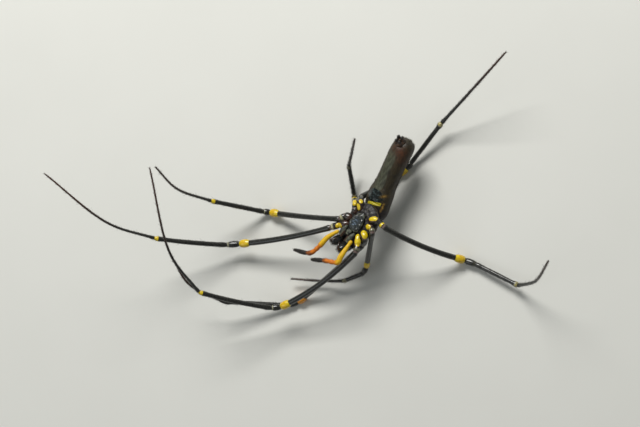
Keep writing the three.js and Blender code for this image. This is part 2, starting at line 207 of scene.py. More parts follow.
class Finish:
    # a material's node tree, built a node at a time
    def __init__(self, name):
        self.material = bpy.data.materials.new(name)
        self.material.use_nodes = True
        self.tree = self.material.node_tree
        self.shader = self.tree.nodes["Principled BSDF"]

    def node(self, kind, **inputs):
        made = self.tree.nodes.new(kind)
        for key, value in inputs.items():
            self.feed(made.inputs[key], value)
        return made

    def feed(self, socket, value):
        if isinstance(value, bpy.types.NodeSocket):
            self.tree.links.new(value, socket)
        else:
            socket.default_value = value

    def set(self, **inputs):
        for key, value in inputs.items():
            self.feed(self.shader.inputs[key.replace("_", " ")], value)

    def spots(self):
        if not hasattr(self, "place"):
            self.place = self.node("ShaderNodeTexCoord").outputs["Object"]
        return self.place

    def noise(self, size, detail=3.0, rough=0.55, warp=0.0):
        # size in millimetres
        made = self.node("ShaderNodeTexNoise", Vector=self.spots(), Scale=1 / (size * mm))
        made.inputs["Detail"].default_value = detail
        made.inputs["Roughness"].default_value = rough
        made.inputs["Distortion"].default_value = warp
        return made.outputs["Fac"]

    def cells(self, size):
        made = self.node("ShaderNodeTexVoronoi", Vector=self.spots(), Scale=1 / (size * mm))
        return made.outputs["Distance"]

    def mask(self, name):
        made = self.tree.nodes.new("ShaderNodeAttribute")
        made.attribute_name = name
        return made.outputs["Fac"]

    def sums(self, operation, a, b, clamp=False):
        made = self.tree.nodes.new("ShaderNodeMath")
        made.operation = operation
        made.use_clamp = clamp
        self.feed(made.inputs[0], a)
        self.feed(made.inputs[1], b)
        return made.outputs[0]

    def ramp(self, value, low, high, outLow=0.0, outHigh=1.0):
        made = self.tree.nodes.new("ShaderNodeMapRange")
        made.interpolation_type = "SMOOTHSTEP"
        for key, item in zip(
            ("Value", "From Min", "From Max", "To Min", "To Max"), (value, low, high, outLow, outHigh)
        ):
            self.feed(made.inputs[key], item)
        return made.outputs["Result"]

    def ragged(self, name, size=0.35, amount=0.35):
        # a mask with an uneven edge
        grain = self.sums("MULTIPLY", self.sums("SUBTRACT", self.noise(size), 0.5), amount * 2)
        return self.ramp(self.sums("ADD", self.mask(name), grain), 0.4, 0.62)

    def blend(self, share, a, b):
        made = self.tree.nodes.new("ShaderNodeMix")
        made.data_type = "RGBA"
        colours = [s for s in made.inputs if s.type == "RGBA"]
        self.feed(made.inputs["Factor"], share)
        for socket, value in zip(colours, (a, b)):
            self.feed(socket, (*value, 1) if isinstance(value, tuple) else value)
        return next(s for s in made.outputs if s.type == "RGBA")

    def bump(self, height, depth, strength=1.0):
        # depth in millimetres
        made = self.node("ShaderNodeBump", Height=height, Distance=depth * mm, Strength=strength)
        self.set(Normal=made.outputs["Normal"])


def legFinish():
    f = Finish("legCuticle")
    grain = f.noise(0.45, 4)
    dark = f.blend(f.ramp(f.noise(3.0, 2), 0.35, 0.7), (0.004, 0.004, 0.003), (0.010, 0.010, 0.008))
    dark = f.blend(f.ramp(grain, 0.45, 0.8, 0, 0.45), dark, (0.026, 0.028, 0.019))
    yellow = f.blend(f.ramp(f.noise(0.7, 3), 0.35, 0.7), (0.54, 0.38, 0.002), (0.70, 0.53, 0.006))
    yellow = f.blend(f.mask("orange"), yellow, (0.66, 0.26, 0.003))
    colour = f.blend(f.mask("brown"), dark, (0.075, 0.022, 0.010))
    colour = f.blend(f.ramp(f.mask("membrane"), 0.2, 0.8), colour, (0.13, 0.085, 0.075))
    pale = f.sums("MULTIPLY", f.mask("pale"), f.ramp(f.noise(0.3, 3), 0.3, 0.55, 0.6, 1.0))
    colour = f.blend(pale, colour, (0.40, 0.38, 0.23))
    colour = f.blend(f.ragged("yellow", 0.3, 0.3), colour, yellow)
    f.set(Base_Color=colour, Roughness=f.ramp(grain, 0.3, 0.7, 0.24, 0.36))
    f.set(Specular_IOR_Level=0.6, Coat_Weight=0.35, Coat_Roughness=0.16)
    f.bump(f.noise(0.1, 3), 0.02, 0.6)
    return f.material


def hairFinish(name, root, tip):
    f = Finish(name)
    f.set(Base_Color=f.blend(f.mask("tip"), root, tip), Roughness=0.5, Specular_IOR_Level=0.4)
    return f.material


def glossFinish(name, dark, light, roughness=0.16, grain=0.15):
    f = Finish(name)
    spots = f.noise(0.8, 4)
    f.set(Base_Color=f.blend(f.ramp(spots, 0.4, 0.75), dark, light))
    f.set(Roughness=f.ramp(f.noise(0.3, 3), 0.3, 0.7, roughness, roughness + 0.14))
    f.set(Specular_IOR_Level=0.7, Coat_Weight=0.4, Coat_Roughness=0.1)
    f.bump(f.noise(grain, 3), 0.02, 0.5)
    return f.material


def carapaceFinish():
    f = Finish("carapaceShield")
    base = f.blend(f.ramp(f.noise(1.4, 4), 0.35, 0.7), (0.018, 0.012, 0.008), (0.06, 0.042, 0.024))
    base = f.blend(f.ramp(f.mask("groove"), 0.1, 0.9), base, (0.012, 0.008, 0.006))
    under = f.blend(f.ramp(f.noise(0.7, 4), 0.56, 0.68), (0.008, 0.006, 0.007), (0.085, 0.08, 0.06))
    colour = f.blend(f.ramp(f.mask("under"), 0.3, 0.7), base, under)
    f.set(Base_Color=colour, Roughness=f.ramp(f.noise(0.5, 3), 0.3, 0.7, 0.42, 0.62))
    f.set(Specular_IOR_Level=0.4, Coat_Weight=0.06, Coat_Roughness=0.3)
    f.bump(f.noise(0.18, 4), 0.05, 0.6)
    return f.material


def sternumFinish():
    f = Finish("sternumPlate")
    base = f.blend(f.ramp(f.noise(0.7, 4), 0.4, 0.7), (0.007, 0.009, 0.009), (0.022, 0.028, 0.024))
    # painted highlight: pale blue blotches near the middle of the plate stand for the sky's reflection in its
    # gloss
    paintedSheen = f.blend(f.ramp(f.noise(0.45, 3), 0.38, 0.65), (0.015, 0.028, 0.040), (0.24, 0.33, 0.46))
    paintedGlint = f.sums("MULTIPLY", f.mask("paintedSheen"), f.ramp(f.noise(0.9, 3), 0.38, 0.6))
    base = f.blend(paintedGlint, base, paintedSheen)
    colour = f.blend(f.ragged("edge", 0.5, 0.5), base, (0.11, 0.12, 0.085))
    f.set(Base_Color=colour, Roughness=f.ramp(f.noise(0.35, 3), 0.3, 0.7, 0.2, 0.4))
    f.set(Specular_IOR_Level=0.65, Coat_Weight=0.3, Coat_Roughness=0.15)
    f.bump(f.noise(0.3, 4), 0.09, 0.8)
    return f.material


def mouthFinish():
    f = Finish("mouthPlates")
    colour = f.blend(f.ramp(f.noise(0.8, 4), 0.42, 0.62), (0.012, 0.014, 0.011), (0.085, 0.095, 0.065))
    colour = f.blend(f.mask("edge"), colour, (0.17, 0.17, 0.12))
    f.set(Base_Color=colour, Roughness=0.48, Specular_IOR_Level=0.5)
    f.bump(f.noise(0.15, 4), 0.05, 0.7)
    return f.material


def palpFinish():
    f = Finish("palpSkin")
    grain = f.noise(0.4, 4)
    colour = f.blend(f.ramp(grain, 0.35, 0.7), (0.58, 0.33, 0.003), (0.72, 0.46, 0.006))
    colour = f.blend(f.ramp(f.mask("orange"), 0.1, 0.9), colour, (0.56, 0.15, 0.003))
    colour = f.blend(f.ragged("rust", 0.4, 0.3), colour, (0.26, 0.065, 0.008))
    colour = f.blend(f.ragged("black", 0.3, 0.2), colour, (0.012, 0.011, 0.010))
    f.set(Base_Color=colour, Roughness=f.ramp(grain, 0.3, 0.7, 0.42, 0.58))
    f.set(Specular_IOR_Level=0.4, Coat_Weight=0.05, Coat_Roughness=0.3)
    f.bump(f.noise(0.1, 3), 0.02, 0.6)
    return f.material


def abdomenFinish():
    f = Finish("abdomenSkin")
    fine, broad = f.noise(0.35, 5), f.noise(2.2, 4, warp=0.6)
    streak = f.mask("streak")
    olive = f.blend(f.ramp(broad, 0.38, 0.66), (0.009, 0.007, 0.003), (0.028, 0.020, 0.007))
    olive = f.blend(f.sums("MULTIPLY", streak, 0.4), olive, (0.062, 0.045, 0.018))
    olive = f.blend(f.ramp(fine, 0.5, 0.75, 0, 0.3), olive, (0.055, 0.042, 0.018))
    light = f.blend(f.ramp(broad, 0.35, 0.7), (0.014, 0.014, 0.007), (0.038, 0.040, 0.022))
    light = f.blend(f.sums("MULTIPLY", streak, 0.75), light, (0.12, 0.13, 0.088))
    light = f.blend(f.ramp(fine, 0.5, 0.75, 0, 0.35), light, (0.10, 0.11, 0.075))
    colour = f.blend(f.ramp(f.mask("light"), 0.1, 0.9), olive, light)
    rust = f.blend(f.ramp(fine, 0.35, 0.7), (0.035, 0.011, 0.004), (0.095, 0.030, 0.009))
    rusty = f.sums("MULTIPLY", f.mask("rust"), f.ramp(broad, 0.3, 0.6, 0.45, 1.0))
    colour = f.blend(rusty, colour, rust)
    colour = f.blend(f.ragged("dark", 0.9, 0.3), colour, (0.012, 0.008, 0.011))
    plate = f.blend(f.ramp(f.noise(0.8, 4), 0.54, 0.74), (0.005, 0.008, 0.008), (0.08, 0.115, 0.115))
    colour = f.blend(f.ragged("plate", 0.6, 0.25), colour, plate)
    amber = f.blend(f.ramp(fine, 0.4, 0.7), (0.22, 0.11, 0.012), (0.42, 0.27, 0.06))
    mottled = f.sums("MULTIPLY", f.mask("amber"), f.ramp(f.noise(0.5, 3), 0.35, 0.6, 0.3, 1.0))
    colour = f.blend(mottled, colour, amber)
    yellow = f.blend(f.ramp(fine, 0.35, 0.7), (0.42, 0.35, 0.006), (0.58, 0.50, 0.02))
    colour = f.blend(f.ragged("yellow", 0.4, 0.25), colour, yellow)
    f.set(Base_Color=colour)
    rough = f.ramp(f.mask("plate"), 0.3, 0.7, 0.46, 0.16)
    f.set(Roughness=f.sums("ADD", rough, f.ramp(fine, 0.3, 0.7, -0.06, 0.08), clamp=True))
    f.set(Specular_IOR_Level=0.42, Coat_Weight=0.06, Coat_Roughness=0.3)
    height = f.sums("ADD", f.sums("MULTIPLY", f.noise(0.16, 4), 0.5), f.cells(0.32))
    f.bump(height, 0.05, 0.5)
    return f.material


def spinneretFinish():
    f = Finish("spinneretSkin")
    colour = f.blend(f.ramp(f.noise(0.6, 4), 0.4, 0.65), (0.016, 0.010, 0.007), (0.12, 0.062, 0.034))
    colour = f.blend(f.mask("edge"), colour, (0.012, 0.009, 0.008))
    f.set(Base_Color=colour, Roughness=0.45, Specular_IOR_Level=0.5)
    f.bump(f.noise(0.14, 4), 0.05, 0.7)
    return f.material


finishes = {
    "leg": legFinish(),
    "legHair": hairFinish("legHair", (0.010, 0.009, 0.007), (0.038, 0.034, 0.026)),
    "claw": glossFinish("clawHorn", (0.015, 0.009, 0.006), (0.04, 0.02, 0.01)),
    "carapace": carapaceFinish(),
    "sternum": sternumFinish(),
    "mouth": mouthFinish(),
    "chelicera": glossFinish("cheliceraShell", (0.006, 0.007, 0.008), (0.02, 0.022, 0.022), 0.12, 0.3),
    "fang": glossFinish("fangHorn", (0.012, 0.004, 0.003), (0.05, 0.014, 0.008), 0.1, 0.3),
    "eye": glossFinish("eyeLens", (0.004, 0.004, 0.005), (0.012, 0.010, 0.010), 0.05, 0.4),
    "palp": palpFinish(),
    "abdomen": abdomenFinish(),
    "spinneret": spinneretFinish(),
    "paleHair": hairFinish("paleHair", (0.04, 0.034, 0.018), (0.17, 0.15, 0.09)),
    "darkHair": hairFinish("darkHair", (0.014, 0.011, 0.009), (0.06, 0.045, 0.032)),
    "rustHair": hairFinish("rustHair", (0.05, 0.025, 0.014), (0.22, 0.13, 0.08)),
}
say("materials made")


# Legs

# where the coxa leaves the sternum and ends, then the radii down the leg
legPairs = {
    1: {"root": (2.7, 2.5, -1.3), "coxaEnd": (5.2, 4.7, -1.1), "coxa": 1.3, "femur": 0.88,
        "bulb": 1.3, "patella": 1.02, "tibia": 0.74, "ankle": 0.8, "metatarsus": 0.4},
    2: {"root": (0.9, 2.9, -1.3), "coxaEnd": (1.9, 5.2, -1.1), "coxa": 1.25, "femur": 0.85,
        "bulb": 1.3, "patella": 1.0, "tibia": 0.72, "ankle": 0.78, "metatarsus": 0.4},
    3: {"root": (-1.1, 2.8, -1.3), "coxaEnd": (-1.9, 4.4, -1.1), "coxa": 1.05, "femur": 0.8,
        "bulb": 0.98, "patella": 0.85, "tibia": 0.66, "ankle": 0.72, "metatarsus": 0.4},
    4: {"root": (-2.7, 2.2, -1.3), "coxaEnd": (-4.9, 4.3, -1.2), "coxa": 1.2, "femur": 0.86,
        "bulb": 1.3, "patella": 1.03, "tibia": 0.7, "ankle": 0.88, "metatarsus": 0.46},
}

# hip: forward, right and up from the sternum; segments: length, heading, rise, bow to the left, sag
legPoses = {
    "left_1": {
        "hip": (7.7, -6.1, -0.5), "femur": (32.5, 189.5, -12.5, 0.7), "patella": (4.1, 184.5, 9),
        "tibia": (22.7, 174, 27.5, 0.3), "metatarsus": (18.2, 154.5, 50), "tarsus": (23.8, 137.5, 24.5),
    },
    "left_2": {
        "hip": (3.7, -5.5, -0.5), "femur": (28.2, 175.5, -24.5, 0.3), "patella": (2.2, 172.5, 26),
        "tibia": (18.1, 166, 41.5, 0), "metatarsus": (14.3, 152.5, 57), "tarsus": (13.1, 115, 57.5),
    },
    "left_3": {
        "hip": (-3.3, -5.3, -0.9), "femur": (13, 162.5, -74.5, 0), "patella": (1.6, 90, 19),
        "tibia": (9.8, 94.5, 24.5, 0), "metatarsus": (8, 55.5, 55), "tarsus": (9.3, 52, 59.5),
    },
    "left_4": {
        "hip": (-4.65, -6.9, -4.2), "femur": (17.8, 36.2, -29.8, 0, 3), "patella": (2.2, 46.5, 15),
        "tibia": (15.9, 49.5, 12, 0), "metatarsus": (13.1, 41.5, 27), "tarsus": (20.3, 42, 26.5),
    },
    "right_1": {
        "hip": (6.7, 6.1, -0.5), "femur": (32.3, 213.5, -15, 1.4), "patella": (2.9, 186.5, 18.5),
        "tibia": (23.3, 165.5, 29, 0.4), "metatarsus": (18, 113, 42), "tarsus": (26.9, 97, 19.5),
    },
    "right_2": {
        "hip": (4.46, 4.85, -3.2), "femur": (32.6, 217.1, -22.95, 0.3), "patella": (3.3, 199.3, 13.2),
        "tibia": (20.0, 176.5, 18.95, 0), "metatarsus": (12.2, 149.7, 26.7), "tarsus": (11.9, 113.7, 30.4),
    },
    "right_3": {
        "hip": (-1.4, 6.1, -0.5), "femur": (16.6, 246.5, -44.5, 0), "patella": (2.1, 241, -10),
        "tibia": (7.3, 200.5, -13.5, 0), "metatarsus": (7, 180.5, -8), "tarsus": (9.9, 176.5, 3),
    },
    "right_4": {
        "hip": (-5.2, 7.8, -0.5), "femur": (29.3, 334.5, -35.5, -1), "patella": (3.7, 341, 7),
        "tibia": (14.5, 334.5, 5, 0), "metatarsus": (11.3, 14, 53), "tarsus": (16.5, 46.5, 58),
    },
}

# yellow spots on the coxae: capsules between two places on the prosoma, with a radius
legSpots = {
    "left_1": [((5.1, -3.9, -0.1), (5.4, -4.3, -0.1), 0.85)],
    "left_2": [],
    "left_3": [((-3.4, -5.3, -0.2), (-3.4, -5.9, -0.6), 0.8)],
    "left_4": [((-3.1, -3.0, -0.2), (-3.5, -3.4, -0.2), 0.75),
               ((-5.3, -3.7, -0.2), (-5.5, -4.1, -0.2), 0.7)],
    "right_1": [((2.8, 2.8, -0.3), (3.9, 4.3, -0.1), 0.6), ((3.9, 4.3, -0.1), (4.3, 4.8, -0.1), 0.95)],
    "right_2": [((0.6, 3.9, -0.3), (1.0, 5.2, -0.1), 0.95)],
    "right_3": [((-1.25, 3.4, -0.2), (-1.5, 4.0, -0.2), 0.85)],
    "right_4": [((-4.2, 2.8, -0.2), (-5.1, 3.8, 0.0), 0.9)],
}

# how pale or yellow the ring at the end of each trochanter is
hipRings = {
    "left_1": {"pale": 0.95}, "left_2": {"pale": 0.85}, "left_3": {"yellow": 0.5}, "left_4": {"pale": 0.3},
    "right_1": {"pale": 0.3}, "right_2": {"pale": 0.3}, "right_3": {"pale": 0.5}, "right_4": {"yellow": 0.85},
}

# how pale the line across the end of each patella is
kneeLines = {
    "left_1": 0.7, "left_2": 0.7, "left_3": 0.7, "left_4": 0.1,
    "right_1": 0.7, "right_2": 0.7, "right_3": 0.1, "right_4": 0.1,
}

# the spot at the end of each tibia
ankleSpots = {
    "left_1": {"yellow": 1}, "left_2": {"yellow": 1},
    "left_3": {"pale": 0.3}, "left_4": {"yellow": 0.45, "pale": 0.6},
    "right_1": {"yellow": 1}, "right_2": {},
    "right_3": {"pale": 0.8}, "right_4": {"yellow": 0.45, "pale": 0.7},
}

legLook = {
    "sides": 28,
    "step": 0.14,  # mm between rings
    "softness": 0.42,  # mm over which a joint bends
    "bulbLength": 2.8,  # of the yellow knee end of a femur, in its own radii
    "tip": 0.16,  # radius at the foot's end
    "hairs": 2400,  # on each leg
    "hairShares": (0.9, 0.9, 0.6, 0.8, 1.15, 1.2),  # how dense, from the coxa to the foot
    "hairLength": (0.32, 0.6),  # mm, on the femur and on the foot
    "spines": 70,
    "dullBulb": "right_2",  # only an orange edge of this one shows in the photo
}


def bowed(start, end, bow=0, sag=0, steps=60):
    along = end - start
    left = np.array([-along[1], along[0], 0])
    left /= max(np.linalg.norm(left), 1e-6)
    middle = (start + end) / 2 + left * 2 * bow - np.array([0, 0, 2 * sag])
    t = np.linspace(0, 1, steps)[:, None]
    return start * (1 - t) ** 2 + middle * 2 * t * (1 - t) + end * t * t


def splineThrough(points, steps=40):
    # a centripetal spline, as the solids have it
    points = [np.array(p, float) for p in points]
    points = [2 * points[0] - points[1], *points, 2 * points[-1] - points[-2]]
    t = np.linspace(0, 1, steps)[:, None]
    runs = []
    for p0, p1, p2, p3 in zip(points, points[1:], points[2:], points[3:]):
        pairs = ((p0, p1), (p1, p2), (p2, p3))
        d0, d1, d2 = (max(np.linalg.norm(b - a) ** 0.5, 1e-4) for a, b in pairs)
        into = ((p1 - p0) / d0 - (p2 - p0) / (d0 + d1) + (p2 - p1) / d1) * d1
        outOf = ((p2 - p1) / d1 - (p3 - p1) / (d1 + d2) + (p3 - p2) / d2) * d1
        bend = 3 * (p2 - p1) - 2 * into - outOf
        runs.append(p1 + into * t + bend * t**2 + (2 * (p1 - p2) + into + outOf) * t**3)
    return np.vstack([run[:-1] for run in runs[:-1]] + [runs[-1]])


def legJoints(name):
    pose, pair = legPoses[name], legPairs[int(name[-1])]
    side = -1 if name.startswith("left") else 1
    spots = [onProsoma(f, side * r, u) for f, r, u in (pair["root"], pair["coxaEnd"])]
    spots.append(onProsoma(*pose["hip"]))
    for part in ("femur", "patella", "tibia", "metatarsus", "tarsus"):
        length, heading, rise = pose[part][:3]
        spots.append(spots[-1] + direction(heading, rise) * length)
    return spots


def lengthsAlong(points):
    return np.concatenate([[0], np.cumsum(np.linalg.norm(np.diff(points, axis=0), axis=1))])


def evenly(points, step):
    lengths = lengthsAlong(points)
    at = np.linspace(0, lengths[-1], max(6, int(round(lengths[-1] / step))))
    return np.stack([np.interp(at, lengths, points[:, k]) for k in range(3)], 1)


def softened(points, reach, step):
    # rounds the corners of a path and leaves its ends where they are
    width = max(1, int(round(reach / step)))
    pad = 3 * width
    kernel = np.exp(-0.5 * (np.arange(-pad, pad + 1) / width) ** 2)
    kernel /= kernel.sum()
    before = 2 * points[0] - points[pad:0:-1]
    after = 2 * points[-1] - points[-2:-pad - 2:-1]
    longer = np.vstack([before, points, after])
    return np.stack([np.convolve(longer[:, k], kernel, "valid") for k in range(3)], 1)


def carriedFrames(points):
    # two directions across a path, carried along it without twist
    tangents = unit(np.gradient(points, axis=0))
    across = [unit(np.cross([0.02, 0.03, 1.0], tangents[0]))]
    for tangent in tangents[1:]:
        across.append(unit(across[-1] - tangent * (across[-1] @ tangent)))
    across = np.array(across)
    return tangents, across, np.cross(tangents, across)


def tube(points, radii, sides):
    # skin points, faces and the outward direction at each ring's corners
    tangents, across, upward = carriedFrames(points)
    turn = np.arange(sides) * 2 * math.pi / sides
    outward = across[:, None] * np.cos(turn)[:, None] + upward[:, None] * np.sin(turn)[:, None]
    skin = points[:, None] + outward * np.asarray(radii)[:, None, None]
    ends = np.array([points[0] - tangents[0] * radii[0] * 0.4, points[-1] + tangents[-1] * radii[-1]])
    return np.vstack([skin.reshape(-1, 3), ends]), gridFaces(len(points), sides), outward, tangents


def joinTubes(tubes):
    # the points and faces of several tubes as one mesh's
    verts, faces, start = [], [], 0
    for points, tubeFaces in tubes:
        verts.append(points)
        faces += [tuple(corner + start for corner in face) for face in tubeFaces]
        start += len(points)
    return np.vstack(verts), faces


def spread(values, sides):
    # a value for each ring of a tube, given to its corners and to the two end points
    return np.append(np.repeat(values, sides), [values[0], values[-1]])


def legPath(name):
    # points down the leg, each with its segment's number and how far along that it is
    pose = legPoses[name]
    root, coxaEnd, hip, knee, tibiaStart, ankle, tarsusStart, tip = legJoints(name)
    step = legLook["step"]
    runs = [
        bowed(root, coxaEnd),
        bowed(coxaEnd, hip),
        bowed(hip, knee, *pose["femur"][3:]),
        bowed(knee, tibiaStart),
        bowed(tibiaStart, ankle, pose["tibia"][3]),
        splineThrough([ankle, tarsusStart, tip]),
    ]
    points, segment, along, lengths = [], [], [], []
    for number, run in enumerate(runs):
        even = evenly(run, step)
        size = lengthsAlong(run)[-1]
        keep = slice(1 if number else 0, None)
        points.append(even[keep])
        segment += [number] * len(even[keep])
        along += list(np.linspace(0, size, len(even))[keep])
        lengths.append(size)
    points = softened(np.vstack(points), legLook["softness"], step)
    return points, np.array(segment), np.array(along), lengths


def segmentRadii(name, number, along, length):
    pair = legPairs[int(name[-1])]
    coxa, femur, bulb, patella = pair["coxa"], pair["femur"], pair["bulb"], pair["patella"]
    tibia, ankle, thin = pair["tibia"], pair["ankle"], pair["metatarsus"]
    bulbLength = legLook["bulbLength"] * bulb
    if number == 2:
        stops = [(0, femur * 0.8), (0.7, femur * 1.1), (2.2, femur * 1.02), (5, femur * 0.97),
                 (length * 0.55, femur * 0.98), (length - bulbLength * 1.35, femur * 1.03),
                 (length - bulbLength * 1.08, femur * 0.98), (length - bulbLength * 0.72, bulb * 0.96),
                 (length - bulbLength * 0.45, bulb), (length - bulbLength * 0.18, bulb * 0.88),
                 (length, bulb * 0.56)]
        return curveThrough(stops, along)
    stops = {
        0: [(0, coxa * 0.5), (0.15, coxa * 0.78), (0.45, coxa * 0.98), (0.75, coxa * 1.02),
            (0.92, coxa * 0.9), (1, coxa * 0.68)],
        1: [(0, coxa * 0.66), (0.18, coxa * 0.8), (0.55, coxa * 0.82), (0.85, coxa * 0.76),
            (1, femur * 0.8)],
        3: [(0, patella * 0.68), (0.15, patella * 0.92), (0.45, patella), (0.8, patella * 0.88),
            (0.9, patella * 0.74), (1, tibia * 0.9)],
        4: [(0, tibia * 0.9), (0.05, tibia * 1.1), (0.16, tibia * 0.98), (0.5, tibia),
            (0.85, tibia * 0.92), (0.94, ankle), (0.985, ankle * 0.86), (1, ankle * 0.62)],
        5: [(0, thin * 1.2), (0.02, thin * 1.5), (0.05, thin * 1.18), (0.2, thin), (0.45, thin * 0.88),
            (0.5, thin * 0.78), (0.53, thin * 0.84), (0.8, thin * 0.68), (0.95, thin * 0.6),
            (1, legLook["tip"])],
    }
    return curveThrough(stops[number], along / length)


def capsuleMask(points, spots):
    # 1 inside the spots, falling to 0 over a short way outside
    best = np.full(len(points), 9.0)  # far from any
    for start, end, radius in spots:
        a, b = onProsoma(*start), onProsoma(*end)
        t = np.clip((points - a) @ (b - a) / ((b - a) @ (b - a)), 0, 1)[:, None]
        best = np.minimum(best, np.linalg.norm(points - (a + (b - a) * t), axis=1) / radius)
    return 1 - smoothStep(0.8, 1.25, best)


def makeLeg(name):
    pair = legPairs[int(name[-1])]
    points, segment, along, lengths = legPath(name)
    radii, yellow, pale, orange, brown, membrane = (np.zeros(len(points)) for _ in range(6))
    for number, length in enumerate(lengths):
        here = segment == number
        s = along[here]
        left = length - s
        radii[here] = segmentRadii(name, number, s, length)
        if number == 0:
            membrane[here] = smoothStep(length - 0.35, length, s)
            brown[here] = 0.5 * smoothStep(length * 0.7, length * 0.2, s)
        if number == 1:
            membrane[here] = np.maximum(smoothStep(0.3, 0.0, s), smoothStep(0.35, 0.05, left) * 0.8)
            ring = smoothStep(1.15, 0.85, left) * smoothStep(0.25, 0.45, left)
            pale[here] = ring * hipRings[name].get("pale", 0)
            yellow[here] = ring * hipRings[name].get("yellow", 0)
        if number == 2:
            bulbLength = legLook["bulbLength"] * pair["bulb"]
            yellow[here] = smoothStep(bulbLength * 1.12, bulbLength * 0.9, left) * smoothStep(0.1, 0.45, left)
            orange[here] = yellow[here] * smoothStep(0.45, 0.0, abs(left / bulbLength - 0.5)) * 0.3
            if name == legLook["dullBulb"]:
                orange[here], brown[here] = yellow[here], yellow[here]
                yellow[here] *= 0.62
            membrane[here] = smoothStep(0.35, 0.05, s) * 0.8
        if number == 3:
            ring = smoothStep(0.8, 0.84, s / length) * smoothStep(0.96, 0.9, s / length)
            pale[here] = ring * kneeLines[name]
        if number == 4:
            ring = smoothStep(1.3, 0.9, left)
            yellow[here] = ring * ankleSpots[name].get("yellow", 0)
            pale[here] = ring * ankleSpots[name].get("pale", 0)
        if number == 5:
            ring = smoothStep(0.45, 0.2, s)
            yellow[here] = ring * ankleSpots[name].get("yellow", 0)
            pale[here] = ring * ankleSpots[name].get("pale", 0)
            brown[here] = smoothStep(0.2, 1.0, s / length) * 0.7
    radii = np.convolve(np.pad(radii, 2, "edge"), [0.1, 0.22, 0.36, 0.22, 0.1], "valid")
    sides = legLook["sides"]
    verts, faces, outward, tangents = tube(points, radii, sides)
    spots = capsuleMask(verts, legSpots[name])
    rim = np.clip(1.6 * spots * (1 - spots) * 4, 0, 1)
    masks = {
        "yellow": np.maximum(spread(yellow, sides), spots),
        "pale": spread(pale, sides),
        "orange": spread(orange, sides),
        "brown": np.maximum(spread(brown, sides), rim),
        "membrane": spread(membrane, sides),
    }
    verts[:, 2] = np.maximum(verts[:, 2], 0)
    piece = makePiece(f"leg_{name}", verts, faces, finishes["leg"], masks)
    solids = [f"leg_{name}_{part}" for part in ("coxa", "femur", "tibia", "metatarsus")]
    settle(piece, "legs", *solids)
    return {"points": points, "radii": radii, "segment": segment, "tangents": tangents, "outward": outward}


legRuns = {name: makeLeg(name) for name in legPoses}
say("legs made")


# Hairs, each a thin three-sided cone

def makeHairs(name, roots, ways, lengths, widths, lean, uv, material, slot, bend=0.45):
    # lean: where the hairs curve to, one way for all or one for each; uv: places on an unwrap of the skin
    count = len(roots)
    side = np.cross(ways, lean)
    side /= np.maximum(np.linalg.norm(side, axis=1, keepdims=True), 1e-9)
    other = np.cross(ways, side)
    rings = []
    for share, thick in ((0, 1.0), (0.5, 0.72)):
        middle = roots + (ways * share + lean * bend * share**2) * lengths[:, None]
        for turn in (0, 2 * math.pi / 3, 4 * math.pi / 3):
            around = side * math.cos(turn) + other * math.sin(turn)
            rings.append(middle + around * (widths * thick)[:, None])
    rings.append(roots + (ways + lean * bend) * lengths[:, None])
    verts = np.stack(rings, 1).reshape(-1, 3)
    verts[:, 2] = np.maximum(verts[:, 2], 0.02)  # just off the floor
    one = [(0, 1, 4, 3), (1, 2, 5, 4), (2, 0, 3, 5), (3, 4, 6), (4, 5, 6), (5, 3, 6)]
    faces = [tuple(7 * k + c for c in face) for k in range(count) for face in one]
    tips = np.tile([0, 0, 0, 0.5, 0.5, 0.5, 1], count)
    piece = makePiece(name, verts, faces, material, {"tip": tips})
    # every hair has a small patch of the unwrap
    patch = np.array([(-1, -1), (1, -1), (0, 1), (-0.7, -0.7), (0.7, -0.7), (0, 0.7), (0, 0)]) * 0.0015
    spots = (uv[:, None] + patch[None]).reshape(-1, 2)
    layer = piece.data.uv_layers.new(name="OFBake")
    corner = np.empty(len(piece.data.loops), np.int32)
    piece.data.loops.foreach_get("vertex_index", corner)
    layer.data.foreach_set("uv", spots[corner].astype(np.float32).ravel())
    settle(piece, slot)


def rootsOnTube(rng, weight, count, run):
    # hair roots spread over a tube: ring numbers, turns round it, outward directions and places
    ring = rng.choice(len(weight), count, p=weight / weight.sum())
    turn = rng.random(count)
    angle = turn * 2 * math.pi
    across = run["outward"][ring, 0]
    upward = np.cross(run["tangents"][ring], across)
    outward = across * np.cos(angle)[:, None] + upward * np.sin(angle)[:, None]
    roots = run["points"][ring] + outward * (run["radii"][ring] * 0.96)[:, None]
    return ring, turn, outward, roots


def legHairs(name, seed):
    # fine hairs lying towards the foot, thicker on the tibia and foot, and a few longer spines
    run = legRuns[name]
    rng = np.random.default_rng(seed)
    segment = run["segment"]
    weight = np.array(legLook["hairShares"])[segment]
    count = legLook["hairs"] + legLook["spines"]
    ring, turn, outward, roots = rootsOnTube(rng, weight, count, run)
    shortest, longest = legLook["hairLength"]
    lengths = np.where(segment[ring] > 2, longest, shortest) * rng.uniform(0.55, 1.2, count)
    spine = np.arange(count) < legLook["spines"]
    lengths[spine] = rng.uniform(0.8, 1.25, spine.sum())
    widths = np.where(spine, 0.03, rng.uniform(0.011, 0.018, count))
    stand = np.where(spine, 1.1, rng.uniform(0.45, 0.8, count))[:, None]
    wobble = rng.normal(0, 0.12, (count, 3))
    ways = unit(outward * stand + run["tangents"][ring] + wobble)
    lean = run["tangents"][ring] * 0.5
    uv = onUnwrap(turn, ring / len(segment))
    makeHairs(f"leg_{name}_hairs", roots, ways, lengths, widths, lean, uv, finishes["legHair"], "legs")


for number, name in enumerate(legPoses):
    legHairs(name, 11 + number)
say("leg hairs made")


clawLook = {
    "claws": ((-0.09, 0.42), (0.09, 0.42), (0.0, 0.26)),  # how far out to the side, and length
    "hook": ((-0.1, 0), (0.4, 0.1), (0.8, -0.05), (1.0, -0.4)),  # forward and up, in lengths
    "radii": (0.055, 0.012),
}


